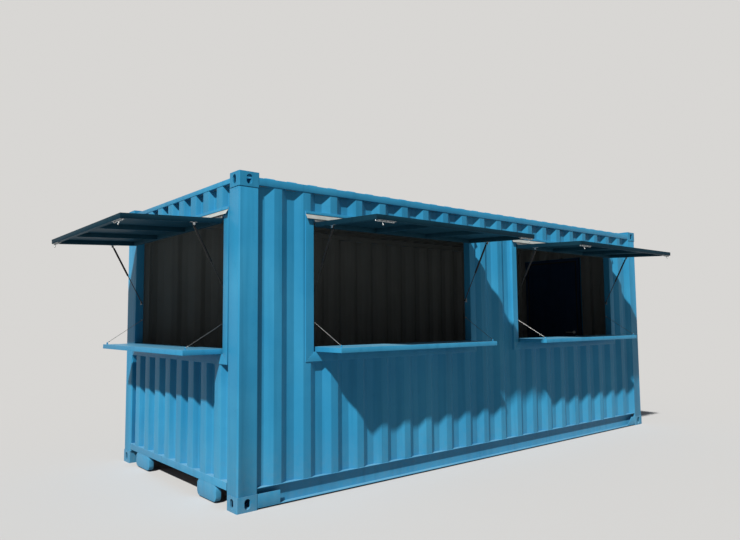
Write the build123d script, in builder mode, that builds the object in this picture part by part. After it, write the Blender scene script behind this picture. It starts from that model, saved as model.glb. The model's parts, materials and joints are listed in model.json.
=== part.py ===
from build123d import *
from math import atan2, cos, degrees, hypot, pi, radians, sin, sqrt, tan
import os

# A 20 foot steel shipping container made into a cabin with three serving hatches.
# Millimetres. The origin is the centre of the footprint, at the underside of the bottom corner
# castings. +X runs along the length to the end with the personnel door, the two long hatches
# are in the wall that faces -Y, the third is in the end that faces -X, and +Z is up.
os.makedirs("parts", exist_ok=True)

# Outside of the container and its corner castings
container_length = 6058.0
container_width = 2438.0
container_height = 2591.0
casting_length = 178.0
casting_width = 162.0
casting_height = 118.0
casting_wall = 14.0
casting_lock_wall = 28.0
lock_slot_length = 124.0
lock_slot_width = 63.5
lock_slot_from_end = 102.5
lock_slot_from_side = 89.5
lifting_slot_length = 79.5
lifting_slot_width = 51.0
lifting_slot_chamfer = 15.0

# Corner posts
post_inset = 4.0
post_across = 170.0
post_wall = 6.0
post_edge_chamfer = 9.0

# Rails and sills
side_rail_inset = 2.0
top_rail_size = 60.0
top_rail_wall = 4.0
roof_edge_below_top = 38.0
end_rail_height = 40.0
end_rail_depth = 60.0
bottom_rail_bottom = 12.0
bottom_rail_height = 150.0
bottom_rail_depth = 48.0
bottom_rail_wall = 4.5
gusset_length = 200.0
gusset_slant = 110.0
end_sill_bottom = 140.0
end_sill_height = 60.0
end_sill_depth = 60.0
tab_centre = 700.0
tab_width = 340.0
tab_depth = 45.0
tab_bottom = 12.0
tab_corner_radius = 45.0

# Floor
cross_member_bottom = 20.0
cross_member_height = 122.0
cross_member_flange = 45.0
cross_member_wall = 4.0
cross_member_pitch = 290.0
cross_member_count = 20
floor_thickness = 28.0
floor_side_gap = 1.0

# Corrugated sheet of the walls
sheet = 2.0
wall_inset = 7.0
side_pitch = 278.0
side_ridge = 72.0
side_slope = 68.0
side_depth = 36.0
side_first_ridge_from_post = 139.0
end_pitch = 250.0
end_ridge = 110.0
end_slope = 18.0
end_depth = 46.0

# Roof sheet with pressed pads
roof_edge_inset = 30.0
roof_pad_pitch = 209.0
roof_pad_count = 27
roof_pad_width = 130.0
roof_pad_height = 20.0
roof_pad_from_edge = 45.0
roof_pad_taper = 45.0

# Hatch openings and the welded frames round them
frame_face = 80.0
frame_depth = 80.0
frame_wall = 4.0
weld_gap = 0.3
hatch_width = 1945.0
hatch_bottom = 1170.0
hatch_top_below_roof = 335.0
front_hatch_from_centre = 1362.5
end_hatch_gap_to_post = 0.0

# Awning flaps
awning_side_gap = 5.0
awning_length = 798.0
awning_thickness = 40.0
awning_skin = 2.0
awning_tube = 40.0
awning_tube_wall = 2.5
awning_ribs = 2
awning_tilt = 2.5
awning_pivot_out = 8.0
awning_pivot_drop = 3.0
awning_edge_gap = 2.0
hinge_leaf_thickness = 3.0
hinge_leaf_height = 46.0
hinge_barrel_radius = 6.5
hinge_knuckles = 5
hinge_sides = 8
hinge_knuckle_gap = 1.0

# Rubber flap over each awning's hinge and the flat bar that clamps it to the frame
flap_thickness = 2.0
flap_height = 18.0
flap_above_leaf = 9.0
flap_reach = 24.0
flap_drop = 38.0
clamp_thickness = 4.0
clamp_above_bend = 2.0

# Slide bolt under each awning's outer edge
bolt_plate_length = 190.0
bolt_plate_width = 34.0
bolt_plate_thickness = 2.5
bolt_radius = 5.0
bolt_reach = 12.0
bolt_keeper_width = 14.0
bolt_keeper_wall = 4.0
bolt_keeper_shares = (-0.38, 0.05, 0.38)
bolt_from_corner = 75.0

# Gas struts
strut_from_jamb = 22.5
strut_foot_out = -55.0
strut_foot_above_sill = 450.0
strut_head_along = 240.0
strut_head_drop = 16.0
strut_rod_radius = 4.0
strut_tube_radius = 9.0
strut_tube_length = 310.0
strut_neck = 14.0
strut_rod_length = 350.0
strut_eye_radius = 7.0
strut_eye_sides = 8
strut_eye_width = 10.0
stud_radius = 3.0
stud_sides = 6
running_gap = 0.3
bracket_thickness = 4.0
bracket_half_width = 9.0
bracket_chamfer = 4.0

# Counters and the wire stays that carry them
counter_side_gap = 20.0
counter_thickness = 40.0
counter_sheet = 3.0
counter_ribs = 3
counter_pivot_out = -66.0
counter_pivot_rise = 8.0
counter_edge_gap = 8.0
front_counter_reach = 348.0
end_counter_reach = 318.0
counter_seat_gap = 0.3
stay_radius = 2.2
stay_sides = 6
stay_lug_radius = 7.0
stay_lug_sides = 8
stay_lug_width = 8.0
stay_lug_from_jamb = 14.0
stay_jamb_out = -65.0
stay_jamb_above_sill = 275.0
stay_counter_from_edge = 32.0
stay_counter_from_end = 25.0
stay_counter_rise = 14.7

# Personnel door in the right-hand end
door_centre = 90.0
door_frame_width = 940.0
door_top_below_roof = 275.0
door_frame_face = 40.0
door_frame_depth = 48.0
door_frame_wall = 3.0
door_frame_inset = 16.0
door_leaf_gap = 5.0
door_leaf_thickness = 40.0
door_leaf_sheet = 2.0
door_pivot_out = 9.0
door_hinge_radius = 7.0
door_hinge_height = 110.0
door_hinge_leaf = 3.0
door_hinge_leaf_width = 32.0
door_hinge_from_end = 230.0
door_handle_height = 1050.0
door_handle_length = 125.0
door_handle_width = 18.0
door_handle_thickness = 8.0
door_handle_rise = 45.0
door_rose_radius = 24.0
door_rose_thickness = 8.0
door_handle_from_edge = 65.0

# Places that follow from the sizes above
half_length = container_length / 2
half_width = container_width / 2
post_along = casting_length - post_inset
post_inner_x = half_length - casting_length
post_inner_y = half_width - post_inset - post_across
between_castings_x = half_length - casting_length
between_castings_y = half_width - casting_width
side_rail_face = half_width - side_rail_inset
bottom_rail_top = bottom_rail_bottom + bottom_rail_height
bottom_rail_web = side_rail_face - bottom_rail_depth
top_rail_top = container_height - roof_edge_below_top
top_rail_bottom = top_rail_top - top_rail_size
end_rail_bottom = top_rail_top - end_rail_height
end_sill_top = end_sill_bottom + end_sill_height
door_frame_top = container_height - door_top_below_roof
end_face = half_length - post_inset
floor_bottom = cross_member_bottom + cross_member_height
floor_top = floor_bottom + floor_thickness
hatch_top = container_height - hatch_top_below_roof
hatch_height = hatch_top - hatch_bottom
frame_bottom = hatch_bottom - frame_face
frame_top = hatch_top + frame_face
frame_width = hatch_width + 2 * frame_face
front_frame_outer = front_hatch_from_centre + frame_width / 2
front_frame_inner = front_hatch_from_centre - frame_width / 2
end_hatch_width = 2 * (post_inner_y - end_hatch_gap_to_post - frame_face)


def save(piece, name):
    """Label a finished piece and write it to its own file."""
    piece.part.label = name
    export_step(piece.part, f"parts/{name}.step")


# Corner castings
def casting(side_x, side_y, side_z):
    """One hollow corner casting with a lock slot and two upright lifting slots, added to the part."""
    outer_x = side_x * half_length
    outer_y = side_y * half_width
    middle_x = side_x * (half_length - casting_length / 2)
    middle_y = side_y * (half_width - casting_width / 2)
    outer_z = 0 if side_z < 0 else container_height
    middle_z = outer_z - side_z * casting_height / 2
    slot_x = side_x * (half_length - lock_slot_from_end)
    slot_y = side_y * (half_width - lock_slot_from_side)
    inside_height = casting_height - casting_lock_wall - casting_wall
    inside_z = outer_z - side_z * (casting_lock_wall + inside_height / 2)
    with BuildSketch(Plane.XY.offset(middle_z)) as profile:
        with Locations((middle_x, middle_y)):
            Rectangle(casting_length, casting_width)
    extrude(profile.sketch, amount=casting_height / 2, both=True)
    with BuildSketch(Plane.XY.offset(inside_z)) as profile:
        with Locations((middle_x, middle_y)):
            Rectangle(casting_length - 2 * casting_wall, casting_width - 2 * casting_wall)
    extrude(profile.sketch, amount=inside_height / 2, both=True, mode=Mode.SUBTRACT)
    with BuildSketch(Plane.XY.offset(outer_z)) as profile:
        with Locations((slot_x, slot_y)):
            SlotOverall(lock_slot_length, lock_slot_width)
    extrude(profile.sketch, amount=-side_z * (casting_lock_wall + 1), mode=Mode.SUBTRACT)
    with BuildSketch(Plane.YZ.offset(outer_x)) as profile:
        with Locations((middle_y, middle_z)):
            Rectangle(lifting_slot_width, lifting_slot_length)
        chamfer(profile.vertices(), length=lifting_slot_chamfer)
    extrude(profile.sketch, amount=-side_x * (casting_wall + 1), mode=Mode.SUBTRACT)
    with BuildSketch(Plane.XZ.offset(-outer_y)) as profile:
        with Locations((middle_x, middle_z)):
            Rectangle(lifting_slot_width, lifting_slot_length)
        chamfer(profile.vertices(), length=lifting_slot_chamfer)
    extrude(profile.sketch, amount=side_y * (casting_wall + 1), mode=Mode.SUBTRACT)


with BuildPart() as bottom_castings:
    for side_x in (-1, 1):
        for side_y in (-1, 1):
            casting(side_x, side_y, -1)
save(bottom_castings, "bottom_castings")

with BuildPart() as top_castings:
    for side_x in (-1, 1):
        for side_y in (-1, 1):
            casting(side_x, side_y, 1)
save(top_castings, "top_castings")


# Corner posts, hollow, between the castings
def post(side_x, side_y):
    """One hollow corner post with its edges broken, added to the part."""
    middle = (side_x * (post_inner_x + post_along / 2), side_y * (post_inner_y + post_across / 2))
    with BuildSketch(Plane.XY.offset(casting_height)) as profile:
        with Locations(middle):
            Rectangle(post_along, post_across)
        chamfer(profile.vertices(), length=post_edge_chamfer)
        with Locations(middle):
            Rectangle(post_along - 2 * post_wall, post_across - 2 * post_wall, mode=Mode.SUBTRACT)
    extrude(profile.sketch, amount=container_height - 2 * casting_height)


with BuildPart() as corner_posts:
    for side_x in (-1, 1):
        for side_y in (-1, 1):
            post(side_x, side_y)
save(corner_posts, "corner_posts")

# Top rails, square tubes under the edges of the roof
with BuildPart() as top_side_rails:
    with BuildSketch(Plane.YZ):
        for side in (-1, 1):
            with Locations((side * (side_rail_face - top_rail_size / 2), top_rail_top - top_rail_size / 2)):
                Rectangle(top_rail_size, top_rail_size)
                Rectangle(top_rail_size - 2 * top_rail_wall, top_rail_size - 2 * top_rail_wall,
                          mode=Mode.SUBTRACT)
    extrude(amount=between_castings_x, both=True)
save(top_side_rails, "top_side_rails")

with BuildPart() as top_end_rails:
    with BuildSketch(Plane.XZ):
        for side in (-1, 1):
            with Locations((side * (end_face - end_rail_depth / 2), top_rail_top - end_rail_height / 2)):
                Rectangle(end_rail_depth, end_rail_height)
                Rectangle(end_rail_depth - 2 * top_rail_wall, end_rail_height - 2 * top_rail_wall,
                          mode=Mode.SUBTRACT)
    extrude(amount=between_castings_y, both=True)
save(top_end_rails, "top_end_rails")

# Bottom side rails, channels that open outwards
with BuildPart() as bottom_side_rails:
    with BuildSketch(Plane.YZ):
        for side in (-1, 1):
            with Locations((side * (side_rail_face - bottom_rail_depth / 2),
                            bottom_rail_bottom + bottom_rail_height / 2)):
                Rectangle(bottom_rail_depth, bottom_rail_height)
            with Locations((side * (side_rail_face - (bottom_rail_depth - bottom_rail_wall) / 2),
                            bottom_rail_bottom + bottom_rail_height / 2)):
                Rectangle(bottom_rail_depth - bottom_rail_wall, bottom_rail_height - 2 * bottom_rail_wall,
                          mode=Mode.SUBTRACT)
    extrude(amount=between_castings_x, both=True)
save(bottom_side_rails, "bottom_side_rails")


# Gusset plates that close the channels beside the castings, square at the left and cut on
# a slant at the right
def gusset(side_x, side_y, slant):
    """One plate between the flanges of a bottom side rail, added to the part."""
    low = bottom_rail_bottom + bottom_rail_wall
    high = casting_height
    near = side_x * between_castings_x
    with BuildSketch(Plane.XZ.offset(-side_y * side_rail_face)) as profile:
        with BuildLine():
            Polyline((near, low), (near, high), (near - side_x * (gusset_length - slant), high),
                     (near - side_x * gusset_length, low), close=True)
        make_face()
    extrude(profile.sketch, amount=side_y * bottom_rail_wall)


with BuildPart() as rail_gussets:
    for side_y in (-1, 1):
        gusset(-1, side_y, 0)
        gusset(1, side_y, gusset_slant)
save(rail_gussets, "rail_gussets")


# End sills with two tabs that hang below each
def end_sill(side):
    """A hollow sill between the posts of one end, added to the part."""
    middle_x = side * (end_face - end_sill_depth / 2)
    with BuildSketch(Plane.XZ) as profile:
        with Locations((middle_x, end_sill_bottom + end_sill_height / 2)):
            Rectangle(end_sill_depth, end_sill_height)
            Rectangle(end_sill_depth - 2 * top_rail_wall, end_sill_height - 2 * top_rail_wall,
                      mode=Mode.SUBTRACT)
    extrude(profile.sketch, amount=post_inner_y, both=True)


with BuildPart() as end_sills:
    for side in (-1, 1):
        end_sill(side)
save(end_sills, "end_sills")

with BuildPart() as sill_tabs:
    for side in (-1, 1):
        with BuildSketch(Plane.YZ.offset(side * end_face)):
            with Locations((-tab_centre, (tab_bottom + end_sill_bottom) / 2),
                           (tab_centre, (tab_bottom + end_sill_bottom) / 2)):
                tab = Rectangle(tab_width, end_sill_bottom - tab_bottom)
            lower_corners = tab.vertices().group_by(Axis.Z)[0]
            fillet(lower_corners, radius=tab_corner_radius)
        extrude(amount=-side * tab_depth)
save(sill_tabs, "sill_tabs")

# Cross members, channels between the bottom side rails
with BuildPart() as cross_members:
    with BuildSketch(Plane.XZ):
        with GridLocations(cross_member_pitch, 1, cross_member_count, 1):
            with Locations((0, cross_member_bottom + cross_member_height / 2)):
                Rectangle(cross_member_flange, cross_member_height)
            with Locations((cross_member_wall / 2, cross_member_bottom + cross_member_height / 2)):
                Rectangle(cross_member_flange - cross_member_wall,
                          cross_member_height - 2 * cross_member_wall, mode=Mode.SUBTRACT)
    extrude(amount=bottom_rail_web, both=True)
save(cross_members, "cross_members")

# Plywood floor on the cross members, notched round the corner posts
with BuildPart() as floor:
    with BuildSketch(Plane.XY.offset(floor_bottom)):
        Rectangle(2 * (end_face - end_sill_depth - floor_side_gap), 2 * (post_inner_y - floor_side_gap))
        Rectangle(2 * (post_inner_x - floor_side_gap), 2 * (bottom_rail_web - floor_side_gap))
    extrude(amount=floor_thickness)
save(floor, "floor")


# Corrugated walls
def corners(start, end, first, pitch, ridge, slope, depth):
    """Where a corrugated line bends between two ends, as (along, inset) pairs.

    The inset is 0 on the ridges and the depth in the troughs. The first ridge starts at first.
    """
    trough = pitch - ridge - 2 * slope
    steps = ((0, 0), (ridge, 0), (ridge + slope, depth), (ridge + slope + trough, depth))
    turn = -int((first - start) // pitch) - 2
    places = []
    while first + turn * pitch < end + pitch:
        places += [(first + turn * pitch + along, inset) for along, inset in steps]
        turn += 1

    def inset_at(along):
        before = max(place for place in places if place[0] <= along)
        after = min(place for place in places if place[0] > along)
        share = (along - before[0]) / (after[0] - before[0])
        return before[1] + share * (after[1] - before[1])

    inner = [place for place in places if start + 1 < place[0] < end - 1]
    return [(start, inset_at(start))] + inner + [(end, inset_at(end))]


def corrugated_wall(place, start, end, bottom, top, first, pitch, ridge, slope, depth):
    """A sheet of even thickness pressed to a corrugation, standing on its lower edge."""
    shift = sheet * tan(atan2(depth, slope) / 2)
    outer = corners(start, end, first, pitch, ridge, slope, depth)
    inner = corners(start, end, first + shift, pitch, ridge - 2 * shift, slope, depth)
    outer_points = [place(along, inset) for along, inset in outer]
    inner_points = [place(along, inset + sheet) for along, inset in inner]
    with BuildSketch(Plane.XY.offset(bottom)) as profile:
        with BuildLine():
            Polyline(*outer_points, *reversed(inner_points), close=True)
        make_face()
    extrude(profile.sketch, amount=top - bottom)


def on_front(along, inset):
    return (along, -(half_width - wall_inset - inset))


def on_back(along, inset):
    return (along, half_width - wall_inset - inset)


def on_left_end(along, inset):
    return (-(half_length - wall_inset - inset), along)


def on_right_end(along, inset):
    return (half_length - wall_inset - inset, along)


def side_sheet(place, start, end, bottom, top):
    """A piece of side wall; the ridges are counted from the left-hand post."""
    first = -post_inner_x + side_first_ridge_from_post
    corrugated_wall(place, start, end, bottom, top, first, side_pitch, side_ridge, side_slope, side_depth)


def end_sheet(place, start, end, bottom, top):
    """A piece of end wall; a trough stands on the centre line."""
    first = (end_pitch - end_ridge) / 2
    corrugated_wall(place, start, end, bottom, top, first, end_pitch, end_ridge, end_slope, end_depth)


with BuildPart() as front_wall_piers:
    side_sheet(on_front, -post_inner_x, -front_frame_outer, bottom_rail_top, top_rail_bottom)
    side_sheet(on_front, -front_frame_inner, front_frame_inner, bottom_rail_top, top_rail_bottom)
    side_sheet(on_front, front_frame_outer, post_inner_x, bottom_rail_top, top_rail_bottom)
save(front_wall_piers, "front_wall_piers")

with BuildPart() as front_wall_under_hatches:
    side_sheet(on_front, -front_frame_outer, -front_frame_inner, bottom_rail_top, frame_bottom)
    side_sheet(on_front, front_frame_inner, front_frame_outer, bottom_rail_top, frame_bottom)
save(front_wall_under_hatches, "front_wall_under_hatches")

with BuildPart() as front_wall_over_hatches:
    side_sheet(on_front, -front_frame_outer, -front_frame_inner, frame_top, top_rail_bottom)
    side_sheet(on_front, front_frame_inner, front_frame_outer, frame_top, top_rail_bottom)
save(front_wall_over_hatches, "front_wall_over_hatches")

with BuildPart() as back_wall:
    side_sheet(on_back, -post_inner_x, post_inner_x, bottom_rail_top, top_rail_bottom)
save(back_wall, "back_wall")

with BuildPart() as left_end_wall:
    end_sheet(on_left_end, -post_inner_y, post_inner_y, end_sill_top, frame_bottom)
    end_sheet(on_left_end, -post_inner_y, post_inner_y, frame_top, end_rail_bottom)
save(left_end_wall, "left_end_wall")

door_low_y = door_centre - door_frame_width / 2
door_high_y = door_centre + door_frame_width / 2
with BuildPart() as right_end_wall:
    end_sheet(on_right_end, -post_inner_y, door_low_y, end_sill_top, end_rail_bottom)
    end_sheet(on_right_end, door_high_y, post_inner_y, end_sill_top, end_rail_bottom)
    end_sheet(on_right_end, door_low_y + weld_gap, door_high_y - weld_gap, door_frame_top, end_rail_bottom)
save(right_end_wall, "right_end_wall")

# Roof sheet with pressed pads across it, notched round the top castings
with BuildPart() as roof:
    pad_length = 2 * (side_rail_face - roof_pad_from_edge)
    pad_shift = 2 * sheet * tan(radians(roof_pad_taper / 2))
    with BuildSketch(Plane.XY.offset(top_rail_top)):
        Rectangle(2 * (half_length - roof_edge_inset), 2 * (between_castings_y - weld_gap))
        Rectangle(2 * (between_castings_x - weld_gap), 2 * (half_width - roof_edge_inset))
    extrude(amount=sheet)
    with BuildSketch(Plane.XY.offset(top_rail_top + sheet)):
        with GridLocations(roof_pad_pitch, 1, roof_pad_count, 1):
            Rectangle(roof_pad_width, pad_length)
    extrude(amount=roof_pad_height, taper=roof_pad_taper)
    with BuildSketch(Plane.XY.offset(top_rail_top)):
        with GridLocations(roof_pad_pitch, 1, roof_pad_count, 1):
            Rectangle(roof_pad_width - pad_shift + 2 * sheet, pad_length - pad_shift + 2 * sheet)
    extrude(amount=roof_pad_height, taper=roof_pad_taper, mode=Mode.SUBTRACT)
save(roof, "roof")


# Hatches. Each is set out from a plane on the outer face of its frame: the first axis runs
# along the wall, the second is up and the third points outwards.
front_left_face = Plane((-front_hatch_from_centre, -half_width, 0), x_dir=(1, 0, 0), z_dir=(0, -1, 0))
front_right_face = Plane((front_hatch_from_centre, -half_width, 0), x_dir=(1, 0, 0), z_dir=(0, -1, 0))
end_face_plane = Plane((-half_length, 0, 0), x_dir=(0, -1, 0), z_dir=(-1, 0, 0))
hatches = {
    "left": (front_left_face, hatch_width, front_counter_reach),
    "right": (front_right_face, hatch_width, front_counter_reach),
    "end": (end_face_plane, end_hatch_width, end_counter_reach),
}


def place_on(face, along, up, out):
    """A point given along a hatch, up from the ground and out from the frame's face."""
    return face.from_local_coords(Vector(along, up, out))


def mitred_frame(plane, width, height, tube, depth, wall):
    """Four hollow tubes with mitred corners, added to the part, with a hairline between them."""
    with BuildSketch(plane) as profile:
        Rectangle(width, height)
        Rectangle(width - 2 * tube, height - 2 * tube, mode=Mode.SUBTRACT)
    extrude(profile.sketch, amount=depth)
    with BuildSketch(plane.offset(wall)) as profile:
        Rectangle(width - 2 * wall, height - 2 * wall)
        Rectangle(width - 2 * tube + 2 * wall, height - 2 * tube + 2 * wall, mode=Mode.SUBTRACT)
    extrude(profile.sketch, amount=depth - 2 * wall, mode=Mode.SUBTRACT)
    with BuildSketch(plane) as profile:
        for side_x in (-1, 1):
            for side_y in (-1, 1):
                with Locations((side_x * (width - tube) / 2, side_y * (height - tube) / 2)):
                    Rectangle(sqrt(2) * tube + 2, weld_gap, rotation=45 * side_x * side_y)
    extrude(profile.sketch, amount=depth, mode=Mode.SUBTRACT)


def frame_plane(face):
    """The outer face of a hatch frame, looking into the wall."""
    middle = place_on(face, 0, hatch_bottom + hatch_height / 2, 0)
    return Plane(middle, x_dir=face.x_dir, z_dir=-face.z_dir)


for name, (face, width, reach) in hatches.items():
    with BuildPart() as hatch_frame:
        mitred_frame(frame_plane(face), width + 2 * frame_face, hatch_height + 2 * frame_face,
                     frame_face, frame_depth, frame_wall)
    save(hatch_frame, f"{name}_hatch_frame")


def cut_view(face, along, up, out):
    """A plane across a hatch through a point: first axis outwards, second axis up."""
    return Plane(place_on(face, along, up, out), x_dir=face.z_dir, z_dir=-face.x_dir)


# Awnings hang from a pivot just outside the header and rest a little below level
awning_pivot_up = hatch_top - awning_pivot_drop


def awning_out(face):
    """The direction from an awning's hinge to its outer edge."""
    return face.z_dir * cos(radians(awning_tilt)) - face.y_dir * sin(radians(awning_tilt))


def awning_up(face):
    """The direction square to an awning, upwards."""
    return face.z_dir * sin(radians(awning_tilt)) + face.y_dir * cos(radians(awning_tilt))


def awning_plan(face, drop):
    """A plane parallel to an awning, a drop below its pivot.

    The first axis runs along the wall, the second out to the edge, and the third down.
    """
    pivot = place_on(face, 0, awning_pivot_up, awning_pivot_out)
    return Plane(pivot - awning_up(face) * drop, x_dir=face.x_dir, z_dir=-awning_up(face))


def awning_cut(face, along):
    """A plane across an awning at its pivot: first axis to the outer edge, second axis up."""
    pivot = place_on(face, along, awning_pivot_up, awning_pivot_out)
    return Plane(pivot, x_dir=awning_out(face), z_dir=-face.x_dir)


skin_drop = awning_pivot_out
tube_drop = skin_drop + awning_skin
underside_drop = skin_drop + awning_thickness
awning_middle = awning_edge_gap + awning_length / 2
for name, (face, width, reach) in hatches.items():
    awning_width = width - 2 * awning_side_gap
    with BuildPart() as awning_sheet:
        with BuildSketch(awning_plan(face, skin_drop)):
            with Locations((0, awning_middle)):
                Rectangle(awning_width, awning_length)
        extrude(amount=awning_skin)
    save(awning_sheet, f"{name}_awning_sheet")

    with BuildPart() as awning_frame:
        plan = awning_plan(face, tube_drop)
        middle_plan = Plane(plan.from_local_coords(Vector(0, awning_middle, 0)), x_dir=plan.x_dir,
                            z_dir=plan.z_dir)
        tube_depth = awning_thickness - awning_skin
        mitred_frame(middle_plan, awning_width, awning_length, awning_tube, tube_depth, awning_tube_wall)
        rib_length = awning_length - 2 * awning_tube - 2 * weld_gap
        rib_pitch = (awning_width - awning_tube) / (awning_ribs + 1)
        with BuildSketch(middle_plan):
            with GridLocations(rib_pitch, 1, awning_ribs, 1):
                Rectangle(awning_tube, rib_length)
        extrude(amount=tube_depth)
        with BuildSketch(middle_plan.offset(awning_tube_wall)):
            with GridLocations(rib_pitch, 1, awning_ribs, 1):
                Rectangle(awning_tube - 2 * awning_tube_wall, rib_length)
        extrude(amount=tube_depth - 2 * awning_tube_wall, mode=Mode.SUBTRACT)
    save(awning_frame, f"{name}_awning_frame")


# Hinges: knuckles turn about one line, every other one on the fixed leaf
def hinge_half(view, width, leaf, first):
    """One half of a long hinge, added to the part.

    The view gives a plane across the hinge at its pivot, for a place along it. The leaf is given
    by its corners in that plane, and is notched where the other half's knuckles turn.
    """
    low_x, low_y, high_x, high_y = leaf
    pitch = width / hinge_knuckles
    notch = 2 * (hinge_barrel_radius + hinge_knuckle_gap)
    with BuildSketch(view(0)) as profile:
        with Locations((low_x, low_y)):
            Rectangle(high_x - low_x, high_y - low_y, align=(Align.MIN, Align.MIN))
    extrude(profile.sketch, amount=width / 2, both=True)
    for knuckle in range(hinge_knuckles):
        middle = (knuckle - (hinge_knuckles - 1) / 2) * pitch
        with BuildSketch(view(middle)) as profile:
            if knuckle % 2 == first:
                RegularPolygon(hinge_barrel_radius, hinge_sides)
            else:
                Rectangle(notch, notch)
        if knuckle % 2 == first:
            extrude(profile.sketch, amount=(pitch - hinge_knuckle_gap) / 2, both=True)
        else:
            extrude(profile.sketch, amount=(pitch + hinge_knuckle_gap) / 2, both=True, mode=Mode.SUBTRACT)


counter_pivot_up = hatch_bottom + counter_pivot_rise
with BuildPart() as fixed_hinge_leaves:
    for name, (face, width, reach) in hatches.items():
        awning_width = width - 2 * awning_side_gap
        counter_width = width - 2 * counter_side_gap
        hinge_half(
            lambda along: cut_view(face, along, awning_pivot_up, awning_pivot_out), awning_width,
            (-awning_pivot_out, 0, hinge_leaf_thickness - awning_pivot_out, hinge_leaf_height), 0)
        hinge_half(
            lambda along: cut_view(face, along, counter_pivot_up, counter_pivot_out), counter_width,
            (-frame_depth - counter_pivot_out, -counter_pivot_rise, 0,
             hinge_leaf_thickness - counter_pivot_rise), 0)
save(fixed_hinge_leaves, "fixed_hinge_leaves")

# The flap stands flat on the frame above the hinge leaf, then leans out over the knuckles
flap_bend_up = awning_pivot_up + hinge_leaf_height + flap_above_leaf
flap_lean = atan2(flap_reach, flap_drop)
with BuildPart() as hinge_flaps:
    for face, width, reach in hatches.values():
        with BuildSketch(cut_view(face, 0, flap_bend_up, 0)):
            with BuildLine():
                Polyline(
                    (0, 0), (0, flap_height), (flap_thickness, flap_height),
                    (flap_thickness, flap_thickness * tan(flap_lean / 2)),
                    (flap_reach + flap_thickness * cos(flap_lean),
                     flap_thickness * sin(flap_lean) - flap_drop),
                    (flap_reach, -flap_drop), close=True)
            make_face()
        extrude(amount=width / 2 + frame_face, both=True)
save(hinge_flaps, "hinge_flaps")

with BuildPart() as flap_clamps:
    for face, width, reach in hatches.values():
        with BuildSketch(cut_view(face, 0, flap_bend_up, 0)):
            with Locations((flap_thickness, clamp_above_bend)):
                Rectangle(clamp_thickness, flap_height - clamp_above_bend,
                          align=(Align.MIN, Align.MIN))
        extrude(amount=width / 2 + frame_face, both=True)
save(flap_clamps, "flap_clamps")


# Fittings that ride on each awning: its hinge leaf, two strut brackets and a slide bolt
def strut_bracket(face, along, side):
    """A plate under an awning with a stud that points inwards, added to the part."""
    outer = along + side * (strut_from_jamb - awning_side_gap)
    plate_middle = outer - side * bracket_thickness / 2
    drop = underside_drop + strut_head_drop
    with BuildSketch(awning_cut(face, plate_middle)) as profile:
        with Locations((strut_head_along, -(underside_drop + drop + bracket_half_width) / 2)):
            Rectangle(2 * bracket_half_width, drop + bracket_half_width - underside_drop)
        lower_corners = profile.vertices().group_by(Axis(profile.workplanes[0].origin, awning_up(face)))[0]
        chamfer(lower_corners, length=bracket_chamfer)
    extrude(profile.sketch, amount=bracket_thickness / 2, both=True)
    stud_from = abs(outer) - bracket_thickness
    stud_to = abs(along) + strut_eye_width / 2 + running_gap
    with BuildSketch(awning_cut(face, side * (stud_from + stud_to) / 2)) as profile:
        with Locations((strut_head_along, -drop)):
            RegularPolygon(stud_radius, stud_sides)
    extrude(profile.sketch, amount=(stud_from - stud_to) / 2, both=True)


def slide_bolt(face, awning_width, side):
    """A slide bolt on a plate under the awning's outer edge, added to the part."""
    middle_u = side * (awning_width / 2 - bolt_from_corner - bolt_plate_length / 2)
    middle_a = awning_edge_gap + awning_length - awning_tube / 2
    plate = awning_plan(face, underside_drop)
    with BuildSketch(plate) as profile:
        with Locations((middle_u, middle_a)):
            Rectangle(bolt_plate_length, bolt_plate_width)
    extrude(profile.sketch, amount=bolt_plate_thickness)
    bar_drop = underside_drop + bolt_plate_thickness + bolt_radius
    bar_middle = middle_u + side * bolt_reach
    with BuildSketch(awning_cut(face, bar_middle)) as profile:
        with Locations((middle_a, -bar_drop)):
            Circle(bolt_radius)
    extrude(profile.sketch, amount=bolt_plate_length / 2, both=True)
    keeper_height = bolt_plate_thickness + 2 * bolt_radius
    for share in bolt_keeper_shares:
        with BuildSketch(awning_cut(face, middle_u + share * bolt_plate_length)) as profile:
            with Locations((middle_a, -underside_drop - keeper_height / 2)):
                Rectangle(2 * (bolt_radius + bolt_keeper_wall), keeper_height)
        extrude(profile.sketch, amount=bolt_keeper_width / 2, both=True)


for name, (face, width, reach) in hatches.items():
    awning_width = width - 2 * awning_side_gap
    strut_along = width / 2 - strut_from_jamb
    bolt_side = 1 if name == "end" else -1
    with BuildPart() as awning_fittings:
        hinge_half(
            lambda along: awning_cut(face, along), awning_width,
            (hinge_knuckle_gap, -awning_pivot_out, hinge_leaf_height,
             hinge_leaf_thickness - awning_pivot_out), 1)
        for side in (-1, 1):
            strut_bracket(face, side * strut_along, side)
        slide_bolt(face, awning_width, bolt_side)
    save(awning_fittings, f"{name}_awning_fittings")

# Gas struts: the cylinder's head turns on the awning's stud, and the rod's foot meets the jamb's
strut_foot_up = hatch_bottom + strut_foot_above_sill
head_drop = underside_drop + strut_head_drop
head_out = (awning_pivot_out + strut_head_along * cos(radians(awning_tilt))
            - head_drop * sin(radians(awning_tilt)))
head_up = (awning_pivot_up - strut_head_along * sin(radians(awning_tilt))
           - head_drop * cos(radians(awning_tilt)))
strut_length = hypot(head_out - strut_foot_out, head_up - strut_foot_up)
strut_lean = atan2(head_out - strut_foot_out, head_up - strut_foot_up)


def strut_plane(face, along):
    """A plane through a strut's foot: its first axis runs up along the strut."""
    direction = face.z_dir * sin(strut_lean) + face.y_dir * cos(strut_lean)
    return Plane(place_on(face, along, strut_foot_up, strut_foot_out), x_dir=direction,
                 z_dir=-face.x_dir)


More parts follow.
